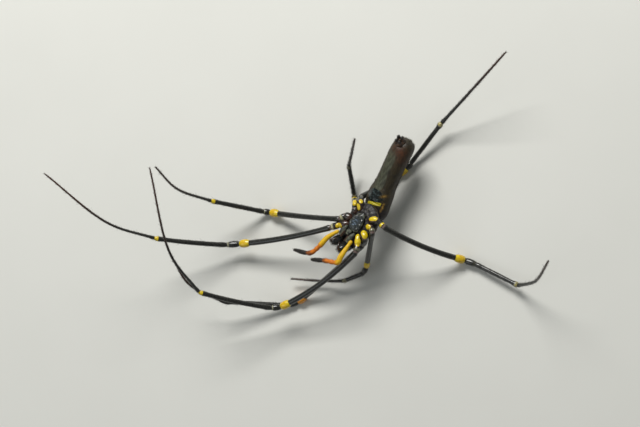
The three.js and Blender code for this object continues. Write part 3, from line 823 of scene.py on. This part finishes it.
def makeClaws(name):
    # two small curved claws and a short third one under them
    run = legRuns[name]
    tip, forward = run["points"][-1], run["tangents"][-1]
    side, up = run["outward"][-1, 0], np.cross(forward, run["outward"][-1, 0])
    claws = []
    for out, size in clawLook["claws"]:
        hook = [tip + forward * a * size + up * b * size + side * out * (1 + a) for a, b in clawLook["hook"]]
        path = splineThrough(hook, steps=5)
        claws.append(tube(path, np.linspace(*clawLook["radii"], len(path)), sides=8)[:2])
    settle(makePiece(f"leg_{name}_claws", *joinTubes(claws), finishes["claw"]), "legs")


for name in legPoses:
    makeClaws(name)
say("claws made")


# Body skins

def bodyGrid(stations, tips, sides, rings):
    # rings across the forward axis, closer together at the round ends
    table = np.array([list(row) + [0] * (6 - len(row)) for row in stations], float)
    table = table[np.argsort(table[:, 0])]
    low, high = min(tips), max(tips)
    t = np.linspace(0, 1, rings + 2)[1:-1]
    forward = low + (high - low) * (1 - np.cos(np.pi * (0.75 * t + 0.25 * t * t * (3 - 2 * t)))) / 2
    share = (forward - forward[0]) / (forward[-1] - forward[0])
    forward = low + share * (high - low) * 0.996 + (high - low) * 0.002
    inside = np.clip(forward, *table[[0, -1], 0])
    values = [curveThrough(list(zip(table[:, 0], table[:, k])), inside) for k in range(1, 6)]
    for end, tip in ((table[0, 0], low), (table[-1, 0], high)):
        past = np.clip((forward - end) / (tip - end), 0, 1)
        closing = np.sqrt(np.clip(1 - past**2, 0, 1))
        for k in range(3):
            values[k] = values[k] * closing
    turn = np.arange(sides) * 2 * math.pi / sides
    return forward, turn, values


def bodyPoints(grid, square=2, sideways=0):
    forward, turn, (half, back, belly, lift, aside) = grid
    power = 2 / square
    up = np.sign(np.cos(turn)) * np.abs(np.cos(turn)) ** power
    out = np.sign(np.sin(turn)) * np.abs(np.sin(turn)) ** power
    depth = np.where(up[None] > 0, belly[:, None], back[:, None])
    x = sideways + aside[:, None] + half[:, None] * out[None]
    y = np.repeat(forward[:, None], len(turn), 1)
    z = lift[:, None] + depth * up[None]
    return np.stack([x, y, z], -1)


def bodyPiece(name, local, origin, axes, material, masks, nodes, slot):
    rings, sides = local.shape[:2]
    ends = np.array([local[0].mean(0), local[-1].mean(0)])
    ends[0, 1] -= abs(local[1, 0, 1] - local[0, 0, 1]) * 0.3
    ends[1, 1] += abs(local[1, 0, 1] - local[0, 0, 1]) * 0.3
    flat = np.vstack([local.reshape(-1, 3), ends])
    verts = origin + flat @ axes
    verts[:, 2] = np.maximum(verts[:, 2], 0)
    full = {key: np.append(np.asarray(value, float).ravel(), [0, 0]) for key, value in masks.items()}
    for key, value in masks.items():
        full[key][-2:] = np.asarray(value, float)[[0, -1]].mean(1)
    settle(makePiece(name, verts, gridFaces(rings, sides), material, full, flip=True), slot, *nodes)


def bump(x, y, centre, reach, height):
    # a soft round rise on a surface
    return height * np.exp(-(((x - centre[0]) / reach[0]) ** 2 + ((y - centre[1]) / reach[1]) ** 2))


def cellSizes(local):
    # the area of each cell of a body's grid
    across = np.linalg.norm(np.roll(local, -1, 1) - local, axis=-1)[:-1]
    return across * np.linalg.norm(np.diff(local, axis=0), axis=-1)


def pickCells(rng, weight, count):
    # ring and column of cells drawn by their weight
    flat = weight.ravel()
    return np.divmod(rng.choice(len(flat), count, p=flat / flat.sum()), weight.shape[1])


# The carapace: a flat shield with a raised head, a pit in the middle and grooves out from it
carapaceLook = {
    "stations": [(-6.1, 1.9, 1.0, 0.9, -2.4), (-5.1, 3.5, 1.8, 1.4, -2.4), (-3.2, 4.8, 2.9, 1.7, -2.4),
                 (-1.0, 5.3, 3.7, 1.8, -2.4), (1.4, 5.0, 3.7, 1.8, -2.4), (3.4, 4.1, 3.8, 1.7, -2.5),
                 (5.2, 3.5, 3.9, 1.5, -2.6), (6.8, 3.3, 3.7, 1.2, -2.8), (7.8, 2.9, 2.9, 0.9, -3.1)],
    "tips": (-6.5, 8.1),
    "sides": 120,
    "rings": 150,
    "grooveDepth": 0.28,
    "foldDepth": 0.16,
    "hairs": 5200,
    "hairsFrom": -2.4,  # height that the hairs point away from
    "hairsBelow": -2.2,  # only the back has them
}


def makeCarapace(look):
    local = bodyPoints(bodyGrid(look["stations"], look["tips"], look["sides"], look["rings"]))
    x, y, z = local[..., 0], local[..., 1], local[..., 2]
    isBack = smoothStep(-2.7, -3.4, z)
    # the groove that sets off the head is a V from the pit to the flanks
    groove = np.exp(-(((np.abs(x) * 0.85 - (y + 0.9)) / 0.34) ** 2)) * (y > -1.2)
    for turn in (0.25, 0.85, 1.7):
        line = np.abs(np.abs(x) * math.cos(turn) + (y + 0.6) * math.sin(turn)) / 0.3
        groove = np.maximum(groove, 0.7 * np.exp(-line**2) * smoothStep(0.9, 2.0, np.hypot(x, y)))
    pit = bump(x, y, (0, -0.9), (0.55, 0.8), 1)
    groove = np.clip(np.maximum(groove, pit), 0, 1) * isBack
    local[..., 2] = z + look["grooveDepth"] * groove
    under = smoothStep(-2.5, -1.7, z)
    folds = np.sin(y * 3.4 + 1.3 * np.abs(x)) * np.sin(np.abs(x) * 2.9 - y * 0.8) * 0.5 + 0.5
    local[..., 2] -= under * look["foldDepth"] * folds
    bodyPiece("carapace_skin", local, sternumPoint, prosomaAxes, finishes["carapace"],
              {"groove": groove, "under": under}, ["carapace"], "carapace")
    return local


carapaceLocal = makeCarapace(carapaceLook)


sternumLook = {
    "stations": [(-3.2, 0.5, 0.15, 0.25, -0.05), (-2.5, 1.2, 0.2, 0.4, -0.05),
                 (-1.0, 1.95, 0.2, 0.5, -0.05), (0.9, 2.3, 0.2, 0.5, -0.05),
                 (2.2, 2.1, 0.2, 0.4, -0.05), (2.75, 1.5, 0.15, 0.25, -0.05)],
    "tips": (-3.5, 2.9),
    # out to the sides and forward, and height
    "humps": [((1.6, 1.75), 0.3), ((1.7, 0.2), 0.26), ((1.3, -1.2), 0.24), ((0.0, -2.2), 0.28),
              ((0, 1.9), 0.22)],
}


def makeSternum(look):
    local = bodyPoints(bodyGrid(look["stations"], look["tips"], sides=96, rings=110))
    x, y = local[..., 0], local[..., 1]
    top = smoothStep(0.0, 0.2, local[..., 2])
    for (out, along), height in look["humps"]:
        for sign in ((-1, 1) if out else (1,)):
            local[..., 2] += top * bump(x, y, (sign * out, along), (0.42, 0.5), height)
    # painted highlight: where the pale blue reflection is painted, a little to the left of and ahead of the
    # middle
    paintedSheen = np.exp(-(((x + 0.3) / 0.85) ** 2 + ((y - 0.6) / 1.25) ** 2))
    edge = 0.75 * smoothStep(0.4, 0.1, local[..., 2])
    edge = edge * smoothStep(0.1, 0.6, np.sin(y * 2.3 + x + 1.1))
    bodyPiece("sternum_skin", local, sternumPoint, prosomaAxes, finishes["sternum"],
              {"paintedSheen": paintedSheen, "edge": edge}, ["sternum"], "sternum")


makeSternum(sternumLook)


# The labium and, on each side of it, an endite
mouthLook = {
    "labium": {
        "stations": [(3.2, 0.8, 0.35, 0.3, 0.1), (3.9, 0.85, 0.4, 0.4, 0.15), (4.7, 0.6, 0.35, 0.35, 0.2)],
        "tips": (3.05, 4.95),
    },
    "endite": {
        "stations": [(3.15, 0.4, 0.5, 0.35, 0.0), (3.9, 0.65, 0.6, 0.5, 0.1),
                     (5.2, 0.78, 0.6, 0.6, 0.25), (6.3, 0.62, 0.5, 0.5, 0.35)],
        "tips": (2.95, 6.7),
        "sideways": 1.85,
    },
    "brushHairs": 420,  # on the inner edge of each endite
}


def makeMouth(look):
    plan = look["labium"]
    local = bodyPoints(bodyGrid(plan["stations"], plan["tips"], sides=64, rings=60))
    bodyPiece("labium_skin", local, sternumPoint, prosomaAxes, finishes["mouth"],
              {"edge": smoothStep(4.4, 4.9, local[..., 1])}, ["labium"], "mouthparts")
    plan = look["endite"]
    for word, sign in (("left", -1), ("right", 1)):
        grid = bodyGrid(plan["stations"], plan["tips"], sides=72, rings=80)
        local = bodyPoints(grid, sideways=sign * plan["sideways"])
        x, y = local[..., 0], local[..., 1]
        edge = 0.8 * smoothStep(5.9, 6.5, y) + 0.5 * smoothStep(0.35, 0.1, np.abs(x * sign - 1.3)) * (y > 4)
        bodyPiece(f"endite_{word}_skin", local, sternumPoint, prosomaAxes, finishes["mouth"],
                  {"edge": np.clip(edge, 0, 1)}, [f"endite_{word}"], "mouthparts")
        rng = np.random.default_rng(40 + sign)
        count = look["brushHairs"]
        along = rng.uniform(4.6, 6.6, count)
        out = sign * (1.2 + rng.uniform(-0.1, 0.15, count))
        spot = np.stack([out, along, 0.3 + rng.uniform(-0.3, 0.35, count)], 1)
        inward, onward = rng.uniform(0.3, 0.9, count), rng.uniform(0.3, 0.9, count)
        ways = unit(np.stack([-sign * inward, onward, rng.uniform(-0.1, 0.5, count)], 1))
        uv = onUnwrap(rng.random(count), (along - 4.6) / 2.1)
        makeHairs(f"endite_{word}_brush", sternumPoint + spot @ prosomaAxes, ways @ prosomaAxes,
                  rng.uniform(0.35, 0.7, count), rng.uniform(0.012, 0.02, count),
                  prosomaAxes[1] * 0.4, uv, finishes["rustHair"], "mouthparts")


makeMouth(mouthLook)
say("carapace, sternum and mouthparts made")


# Chelicerae and fangs, in a frame tipped up from the prosoma's
cheliceraLook = {
    "tip": 55,  # degrees
    "origin": (0, 7.1, -3.2),
    "sideways": 1.66,
    "stations": [(0.3, 1.05, 1.2, 1.0), (1.0, 1.4, 1.5, 1.3), (2.4, 1.52, 1.55, 1.4), (3.8, 1.36, 1.35, 1.25),
                 (4.7, 0.98, 0.95, 0.9)],
    "tips": (0, 5.2),
    "sides": 80,
    "rings": 90,
    "fang": [(2.2, 5.3, 0.5), (1.8, 5.55, 1.4), (1.2, 5.0, 2.05), (0.7, 4.2, 2.2)],
    "fangRadii": [(0, 0.36), (0.12, 0.45), (0.3, 0.36), (0.65, 0.26), (1, 0.05)],
    "teeth": 3,  # beside each fang
    "hairs": 900,
}
tipUp = math.radians(cheliceraLook["tip"])
tipped = [[1, 0, 0], [0, math.cos(tipUp), math.sin(tipUp)], [0, -math.sin(tipUp), math.cos(tipUp)]]
cheliceraAxes = np.array(tipped) @ prosomaAxes
cheliceraOrigin = sternumPoint + np.array(cheliceraLook["origin"]) @ prosomaAxes


def onChelicera(place):
    return cheliceraOrigin + np.array(place) @ cheliceraAxes


def makeChelicera(word, sign, look):
    # a barrel, swollen at its base on the outer side, with the groove that the fang folds into
    grid = bodyGrid(look["stations"], look["tips"], look["sides"], look["rings"])
    local = bodyPoints(grid, sideways=sign * look["sideways"])
    y, z = local[..., 1], local[..., 2]
    outer = smoothStep(0.3, 1.1, (local[..., 0] * sign - look["sideways"]))
    local[..., 0] += sign * outer * bump(y, z, (0.9, 0.0), (0.5, 0.8), 0.12)
    inner = smoothStep(0.2, -0.5, local[..., 0] * sign - look["sideways"])
    local[..., 2] -= inner * bump(y, z, (4.3, 0.9), (0.6, 0.5), 0.22)
    bodyPiece(f"chelicera_{word}_skin", local, cheliceraOrigin, cheliceraAxes, finishes["chelicera"], {},
              [f"chelicera_{word}"], "chelicerae")
    return local


def makeFang(word, sign, look):
    path = splineThrough([onChelicera((sign * x, a, b)) for x, a, b in look["fang"]], steps=14)
    radii = curveThrough(look["fangRadii"], np.linspace(0, 1, len(path)))
    fang = makePiece(f"fang_{word}_horn", *tube(path, radii, sides=28)[:2], finishes["fang"])
    settle(fang, "chelicerae", f"fang_{word}")


def makeTeeth(word, sign, look):
    # a row along the groove
    teeth = []
    for k in range(look["teeth"]):
        base = np.array([sign * (0.62 + 0.12 * k), 4.55 - 0.42 * k, 0.95 + 0.1 * k])
        row = [base, base + np.array([0, 0.12, 0.34]), base + np.array([0, 0.1, 0.5])]
        path = splineThrough([onChelicera(place) for place in row], steps=4)
        teeth.append(tube(path, np.linspace(0.13, 0.02, len(path)), sides=10)[:2])
    settle(makePiece(f"chelicera_{word}_teeth", *joinTubes(teeth), finishes["fang"]), "chelicerae")


def cheliceraHairs(word, sign, look, local):
    # bristles over the outer and front sides
    rng = np.random.default_rng(60 + sign)
    count = look["hairs"]
    ring = rng.integers(12, 84, count)  # clear of both ends
    column = rng.integers(0, look["sides"], count)
    spot = local[ring, column]
    centre = np.stack([np.full(count, sign * look["sideways"]), spot[:, 1], np.zeros(count)], 1)
    ways = unit(unit(spot - centre) * 0.7 + np.array([0, 0.9, 0]) + rng.normal(0, 0.12, (count, 3)))
    uv = onUnwrap(column / look["sides"], ring / look["rings"])
    makeHairs(f"chelicera_{word}_hairs", onChelicera(spot), ways @ cheliceraAxes,
              rng.uniform(0.3, 0.75, count), rng.uniform(0.010, 0.017, count),
              cheliceraAxes[1] * 0.5, uv, finishes["darkHair"], "chelicerae")


for word, sign in (("left", -1), ("right", 1)):
    cheliceraLocal = makeChelicera(word, sign, cheliceraLook)
    makeFang(word, sign, cheliceraLook)
    makeTeeth(word, sign, cheliceraLook)
    cheliceraHairs(word, sign, cheliceraLook, cheliceraLocal)


# Eyes: a dark dome in a low collar; each place is forward, out to the side and up, then the radius
eyePlaces = {
    "front_inner": (7.9, 0.55, -4.4, 0.26),
    "front_outer": (7.2, 2.25, -5.25, 0.22),
    "rear_inner": (7.0, 0.75, -6.25, 0.25),
    "rear_outer": (6.6, 2.35, -5.5, 0.22),
}
# outward and across, in radii: a collar, a narrow neck, and the dome
eyeProfile = [(-0.9, 0.75), (-0.45, 1.12), (0.0, 1.2), (0.14, 1.1), (0.2, 0.98), (0.34, 0.95),
              (0.55, 0.84), (0.74, 0.66), (0.9, 0.42), (0.98, 0.2)]


def makeEye(word, row):
    forward, out, up, radius = eyePlaces[row]
    sign = -1 if word == "left" else 1
    centre = onProsoma(forward, sign * out, up)
    inside = onProsoma(forward - 2.2, sign * out * 0.55, -3.9)
    way = unit(centre - inside)
    path = np.array([centre + way * a * radius for a, _ in eyeProfile])
    verts, faces, _, _ = tube(path, np.array([b * radius for _, b in eyeProfile]), sides=32)
    verts[-1] = centre + way * radius
    eye = makePiece(f"eye_{word}_{row}_dome", verts, faces, finishes["eye"])
    settle(eye, "eyes", f"eye_{word}_{row}")


for word in ("left", "right"):
    for row in eyePlaces:
        makeEye(word, row)
say("chelicerae and eyes made")


# Palps
palpLook = {
    "left": [(6.3, -2.9, 0.1), (10.1, -3.9, 1.0), (14.1, -3.9, 1.5), (17.4, -4.8, 1.5), (21.1, -10.3, 1.0)],
    "right": [(5.2, 3.0, 0.4), (10.6, 4.5, 2.0), (12.2, 5.0, 2.2), (15.0, 1.4, 2.2), (18.5, -3.0, 1.6)],
    # share of the way along, radius
    "left_radii": [(0, 0.5), (0.04, 0.62), (0.07, 0.56), (0.12, 0.64), (0.3, 0.82), (0.4, 0.84),
                   (0.445, 0.6), (0.49, 0.74), (0.53, 0.6), (0.57, 0.72), (0.66, 0.76), (0.705, 0.52),
                   (0.75, 0.66), (0.9, 0.55), (1, 0.3)],
    "right_radii": [(0, 0.5), (0.04, 0.62), (0.08, 0.56), (0.14, 0.66), (0.35, 0.86), (0.46, 0.84),
                    (0.5, 0.62), (0.56, 0.76), (0.6, 0.6), (0.64, 0.7), (0.7, 0.74), (0.735, 0.5),
                    (0.78, 0.64), (0.92, 0.54), (1, 0.3)],
    # where yellow turns orange, rust and then black, as shares of the way along
    "left_bands": (0.42, 0.53, 0.71),
    "right_bands": (0.48, 0.6, 0.735),
    "sides": 32,
    "hairs": 1300,
}


def makePalp(word):
    path = evenly(splineThrough([onProsoma(*place) for place in palpLook[word]]), 0.1)
    share = lengthsAlong(path) / lengthsAlong(path)[-1]
    radii = curveThrough(palpLook[f"{word}_radii"], share)
    sides = palpLook["sides"]
    verts, faces, outward, tangents = tube(path, radii, sides)
    orange, rust, black = palpLook[f"{word}_bands"]
    masks = {
        "orange": spread(smoothStep(orange - 0.12, orange + 0.05, share), sides),
        "rust": spread(smoothStep(rust - 0.02, rust + 0.14, share) * 0.85, sides),
        "black": spread(smoothStep(black - 0.012, black + 0.012, share), sides),
    }
    settle(makePiece(f"palp_{word}_skin", verts, faces, finishes["palp"], masks), "palps", f"palp_{word}")
    rng = np.random.default_rng(80 + len(word))
    count = palpLook["hairs"]
    weight = 0.25 + 1.6 * smoothStep(black - 0.25, black + 0.05, share)
    run = {"points": path, "radii": radii, "tangents": tangents, "outward": outward}
    ring, turn, out, roots = rootsOnTube(rng, weight, count, run)
    stand = rng.uniform(0.5, 1.0, count)[:, None]
    ways = unit(out * stand + tangents[ring] + rng.normal(0, 0.1, (count, 3)))
    makeHairs(f"palp_{word}_hairs", roots, ways, rng.uniform(0.2, 0.5, count),
              rng.uniform(0.010, 0.016, count), tangents[ring] * 0.5, onUnwrap(turn, share[ring]),
              finishes["darkHair"], "palps")


for word in ("left", "right"):
    makePalp(word)
say("palps made")


# The abdomen: its front end at zero, its belly up
abdomenLook = {
    # forward, half width, depth to the back and to the belly, raised, set to the right
    "stations": [(-0.4, 2.0, 1.7, 1.2, 0.1, 0.3), (-1.4, 3.3, 2.8, 2.1, 0.1, 0.2),
                 (-3.2, 4.0, 3.4, 2.9, 0.1, -0.05), (-5.8, 4.2, 3.6, 3.3, 0.1, -0.4),
                 (-8.5, 4.05, 3.6, 3.4, 0, -0.6), (-11.0, 3.6, 3.5, 3.3, 0, -0.55),
                 (-14.0, 3.35, 3.4, 3.15, 0, -0.45), (-18.0, 3.4, 3.3, 3.1, 0, -0.35),
                 (-21.5, 3.55, 3.4, 3.1, 0, -0.2), (-24.2, 3.5, 3.3, 2.9, -0.1, -0.05),
                 (-25.9, 2.8, 2.8, 2.2, -0.2, 0), (-26.7, 1.6, 1.7, 1.1, -0.3, 0)],
    "tips": (-27.1, 0),
    "sides": 220,
    "rings": 330,
    "folds": 9,
    "dimpleRows": (-10.5, -13.2, -15.8, -18.3, -20.6),
    "hairs": 16000,
}
abdomenOrigin = sternumPoint + np.array(attitude["abdomenFront"])


def shapeAbdomen(look):
    # shallow folds across, dimples in two rows, and the bulge of the plate over the egg opening
    local = bodyPoints(bodyGrid(look["stations"], look["tips"], look["sides"], look["rings"]))
    x, y, z = (local[..., k].copy() for k in range(3))
    belly = smoothStep(0.2, 1.6, z)
    rng = np.random.default_rng(7)
    fold = np.zeros_like(x)
    for _ in range(look["folds"]):
        place, width = rng.uniform(-25, -2), rng.uniform(0.25, 0.5)
        line = np.exp(-(((y - place + 0.25 * np.sin(x * 1.3 + place)) / width) ** 2))
        fold += line * rng.uniform(0.02, 0.05)
    dimples = sum(bump(x, y, (side * 1.15 + 0.35, at), (0.3, 0.42), 0.09)
                  for side in (-1, 1) for at in look["dimpleRows"])
    rise = bump(x, y, (-0.3, -7.2), (2.0, 1.5), 0.34) - bump(x, y, (0.4, -5.55), (3.0, 0.28), 0.22)
    rise += bump(x, y, (0.3, -23.2), (1.6, 0.9), 0.12)
    push = (-fold - dimples * belly + rise * belly)[..., None]
    outward = local - np.stack([np.zeros_like(x), y, np.zeros_like(x)], -1)
    outward /= np.maximum(np.linalg.norm(outward, axis=-1, keepdims=True), 1e-6)
    return local + outward * push, outward, (x, y, z, belly)


def markAbdomen(x, y, z, belly):
    # the belly's marks, in millimetres to the right and forward
    side = 1.0 + 0.25 * np.sin(y * 0.9)
    strip = smoothStep(side + 0.25, side - 0.3, x) * belly
    strip *= smoothStep(-8.3, -9.6, y) * smoothStep(-24.2, -21.0, y)
    strip *= 0.25 + 0.75 * smoothStep(-3.0, -0.4, x)
    flank = 0.3 * smoothStep(0.8, -0.6, z) * smoothStep(-0.6, -2.4, x) * smoothStep(-3, -6, y)
    rust = bump(x, y, (0.6, -23.2), (2.6, 1.7), 1.0) * belly + bump(x, y, (2.8, -21.0), (1.3, 2.2), 0.75)
    plate = smoothStep(1.35, 0.85, np.hypot((x + 0.3) / 2.6, (y + 7.6) / 1.85)) * belly
    bandLine = -4.85 - 0.28 * (x + 1.0)
    band = smoothStep(0.62, 0.38, np.abs(y - bandLine)) * belly
    band *= smoothStep(-2.0, -1.5, x) * smoothStep(2.9, 2.4, x)
    curl = smoothStep(0.34, 0.1, np.abs(x - 3.2 + 0.05 * (y + 5.2) ** 2)) * smoothStep(-6.9, -6.2, y)
    curl = curl * smoothStep(-3.3, -4.3, y) * (z > 0.5)
    dash = bump(x + 0.7 * (y + 8.5), y, (2.35, -8.5), (0.5, 0.6), 0.75) * belly
    fine = np.sin(x * 17 + 2.0 * np.sin(y * 0.5 + 1))
    streak = 0.5 + 0.5 * np.sin(x * 7.0 + 1.4 * np.sin(y * 0.7) + 0.8) * fine
    streak = streak * (0.6 + 0.4 * np.sin(y * 1.9 + 3 * np.sin(x * 2)))
    return {
        "light": np.maximum(strip, flank),
        "rust": np.clip(rust, 0, 1),
        "plate": plate,
        "yellow": band,
        "amber": np.maximum(curl, dash),
        "dark": smoothStep(-5.0, -4.2, y) * 0.95,
        "streak": np.clip(streak, 0, 1),
    }


abdomenLocal, abdomenOutward, bellyPlaces = shapeAbdomen(abdomenLook)
abdomenMasks = markAbdomen(*bellyPlaces)
bodyPiece("abdomen_skin", abdomenLocal, abdomenOrigin, abdomenAxes, finishes["abdomen"], abdomenMasks,
          ["abdomen"], "abdomen")


def abdomenHairs(look):
    rng = np.random.default_rng(21)
    rings, sides = abdomenLocal.shape[:2]
    weight = cellSizes(abdomenLocal) * (1 - 0.85 * abdomenMasks["plate"][:-1])  # the plate is nearly bare
    for part, material, share in (("pale", "paleHair", 0.3), ("dark", "darkHair", 0.7)):
        count = int(look["hairs"] * share)
        ring, column = pickCells(rng, weight, count)
        t = rng.random((count, 1))
        spot = abdomenLocal[ring, column] * (1 - t) + abdomenLocal[ring + 1, (column + 1) % sides] * t
        out = abdomenOutward[ring, column]
        stand = rng.uniform(0.35, 0.7, count)[:, None]
        ways = unit(out * stand + np.array([0, -1.0, 0]) + rng.normal(0, 0.18, (count, 3)))
        makeHairs(f"abdomen_hairs_{part}", abdomenOrigin + (spot - out * 0.01) @ abdomenAxes,
                  ways @ abdomenAxes, rng.uniform(0.22, 0.5, count), rng.uniform(0.008, 0.014, count),
                  -abdomenAxes[1] * 0.3, onUnwrap(column / sides, ring / rings),
                  finishes[material], "abdomen")


abdomenHairs(abdomenLook)
say("abdomen made")


# Spinnerets: a collar with three pairs and the small cone behind them
spinneretLook = {
    "base": [(-23.9, 0.7, 0.6, 0.5, 2.4), (-24.6, 1.35, 1.2, 0.9, 2.6), (-25.8, 1.45, 1.5, 1.1, 2.3),
             (-26.6, 1.0, 1.2, 0.9, 2.0)],
    "baseTips": (-27.0, -23.6),
    # place forward, out to the side and up, reach, radius
    "cones": [(-24.8, 0.7, 2.75, 1.7, 0.68), (-26.1, 0.74, 2.4, 1.7, 0.64), (-25.5, 0.28, 2.8, 0.9, 0.28),
              (-26.75, 0.0, 2.1, 0.8, 0.42)],
    "coneRadii": [(0, 0.92), (0.3, 1.0), (0.55, 0.86), (0.6, 0.76), (0.8, 0.74), (1, 0.42)],
    "sides": 24,
    "hairs": 900,
}


def makeSpinnerets(look):
    local = bodyPoints(bodyGrid(look["base"], look["baseTips"], sides=64, rings=60))
    bodyPiece("spinneret_base_skin", local, abdomenOrigin, abdomenAxes, finishes["spinneret"],
              {"edge": smoothStep(2.6, 1.9, local[..., 2]) * 0.5}, [], "spinnerets")
    cones, tips = [], []
    roots, ways, uvs = [], [], []
    sides = look["sides"]
    rng = np.random.default_rng(33)
    for forward, out, up, reach, radius in look["cones"]:
        for sign in ((-1, 1) if out else (1,)):
            base = np.array([sign * out, forward, up])
            end = base + np.array([-sign * out * 0.2, -0.62 * reach, 0.72 * reach])
            bend = (base + end) / 2 + np.array([sign * 0.08, -0.1, 0.05])
            path = splineThrough([base, bend, end], steps=10)
            share = np.linspace(0, 1, len(path))
            radii = radius * curveThrough(look["coneRadii"], share)
            points, faces, outward, tangents = tube(path, radii, sides)
            cones.append((points, faces))
            tips.append(np.append(np.repeat(smoothStep(0.5, 0.62, share), sides), [0, 1]))
            count = int(look["hairs"] * radius / 3)
            ring = rng.integers(3, len(path), count)
            column = rng.integers(0, sides, count)
            side = outward[ring, column]
            roots.append(path[ring] + side * radii[ring][:, None] * 0.97)
            ways.append(unit(side * 0.6 + tangents[ring] + rng.normal(0, 0.12, (count, 3))))
            uvs.append(onUnwrap((column + rng.random(count)) / sides, ring / len(path)))
    verts, faces = joinTubes(cones)
    piece = makePiece("spinnerets_skin", abdomenOrigin + verts @ abdomenAxes, faces,
                      finishes["spinneret"], {"edge": np.concatenate(tips)}, flip=True)
    settle(piece, "spinnerets", "spinnerets")
    roots, ways, uvs = np.vstack(roots), np.vstack(ways), np.vstack(uvs)
    count = len(roots)
    makeHairs("spinneret_hairs", abdomenOrigin + roots @ abdomenAxes, ways @ abdomenAxes,
              rng.uniform(0.18, 0.4, count), rng.uniform(0.008, 0.013, count),
              -abdomenAxes[1] * 0.3, uvs, finishes["darkHair"], "spinnerets")


makeSpinnerets(spinneretLook)


pedicelLook = {
    "start": (-5.2, 0.2, -2.7),  # on the prosoma
    "end": (0.3, -1.6, 0.2),  # inside the front of the abdomen
    "radii": [(0, 0.85), (0.35, 0.62), (0.5, 0.66), (0.65, 0.6), (1, 0.9)],
}


def makePedicel(look):
    end = abdomenOrigin + np.array(look["end"]) @ abdomenAxes
    path = evenly(bowed(onProsoma(*look["start"]), end), 0.1)
    radii = curveThrough(look["radii"], np.linspace(0, 1, len(path)))
    verts, faces, _, _ = tube(path, radii, sides=32)
    masks = {"groove": np.zeros(len(verts)), "under": np.full(len(verts), 0.45)}
    settle(makePiece("pedicel_skin", verts, faces, finishes["carapace"], masks), "coxae", "pedicel")


makePedicel(pedicelLook)


def carapaceHairs(look):
    # short pale down on the back, lying towards the head
    rng = np.random.default_rng(51)
    rings, sides = carapaceLocal.shape[:2]
    weight = cellSizes(carapaceLocal) * (carapaceLocal[:-1, :, 2] < look["hairsBelow"])
    count = look["hairs"]
    ring, column = pickCells(rng, weight, count)
    spot = carapaceLocal[ring, column] + rng.normal(0, 0.02, (count, 3))
    out = unit((spot - np.array([0, 0, look["hairsFrom"]])) * np.array([1, 0, 1]))
    ways = unit(out * 0.5 + np.array([0, 0.9, 0]) + rng.normal(0, 0.2, (count, 3)))
    makeHairs("carapace_hairs", sternumPoint + spot @ prosomaAxes, ways @ prosomaAxes,
              rng.uniform(0.25, 0.55, count), rng.uniform(0.010, 0.016, count),
              prosomaAxes[1] * 0.3, onUnwrap(column / sides, ring / rings),
              finishes["paleHair"], "carapace")


carapaceHairs(carapaceLook)
say("spinnerets, pedicel and down made")


# Floor and light

stageLook = {
    "halfWidth": 3.0,  # metres
    "paper": ((0.66, 0.66, 0.63), (0.70, 0.70, 0.67)),
    # place, width and height in metres, watts, colour; all aim at the animal
    "lights": {
        "skyLight": ((-0.08, 0.5, 0.5), (0.36, 0.2), 8.0, (1.0, 0.99, 0.95)),
        "fillLight": ((-0.5, -0.3, 0.6), (0.5, 0.5), 1.2, (0.93, 0.97, 1.0)),
    },
    "aim": (0, 0, 0.01),
    "air": ((0.9, 0.93, 0.9), 0.32),  # colour and strength of the light all round
    "exposure": -0.5,
}


def setFloor(look):
    half = look["halfWidth"]
    corners = [(-half, -half, 0), (half, -half, 0), (half, half, 0), (-half, half, 0)]
    mesh = bpy.data.meshes.new("floor")
    mesh.from_pydata(corners, [], [(0, 1, 2, 3)])
    f = Finish("floorPaper")
    shade = f.blend(f.noise(40, 3), *look["paper"])
    f.set(Base_Color=shade, Roughness=0.9, Specular_IOR_Level=0.2)
    mesh.materials.append(f.material)
    floor = bpy.data.objects.new("floor", mesh)
    bpy.context.scene.collection.objects.link(floor)


def addSoftLight(name, place, size, power, colour, aim):
    data = bpy.data.lights.new(name, "AREA")
    data.shape = "RECTANGLE"
    data.size, data.size_y = size
    data.energy = power
    data.color = colour
    lamp = bpy.data.objects.new(name, data)
    bpy.context.scene.collection.objects.link(lamp)
    lamp.location = place
    lamp.rotation_euler = (Vector(place) - Vector(aim)).to_track_quat("Z", "Y").to_euler()


def setAir(look):
    colour, strength = look["air"]
    world = bpy.data.worlds.new("studio")
    world.use_nodes = True
    world.node_tree.nodes["Background"].inputs["Color"].default_value = (*colour, 1)
    world.node_tree.nodes["Background"].inputs["Strength"].default_value = strength
    bpy.context.scene.world = world
    view = bpy.context.scene.view_settings
    view.view_transform = "Standard"  # keeps the yellows strong
    view.look = "None"
    view.exposure = look["exposure"]


setFloor(stageLook)
for name, light in stageLook["lights"].items():
    addSoftLight(name, *light, stageLook["aim"])
setAir(stageLook)
say("stage and lights set")
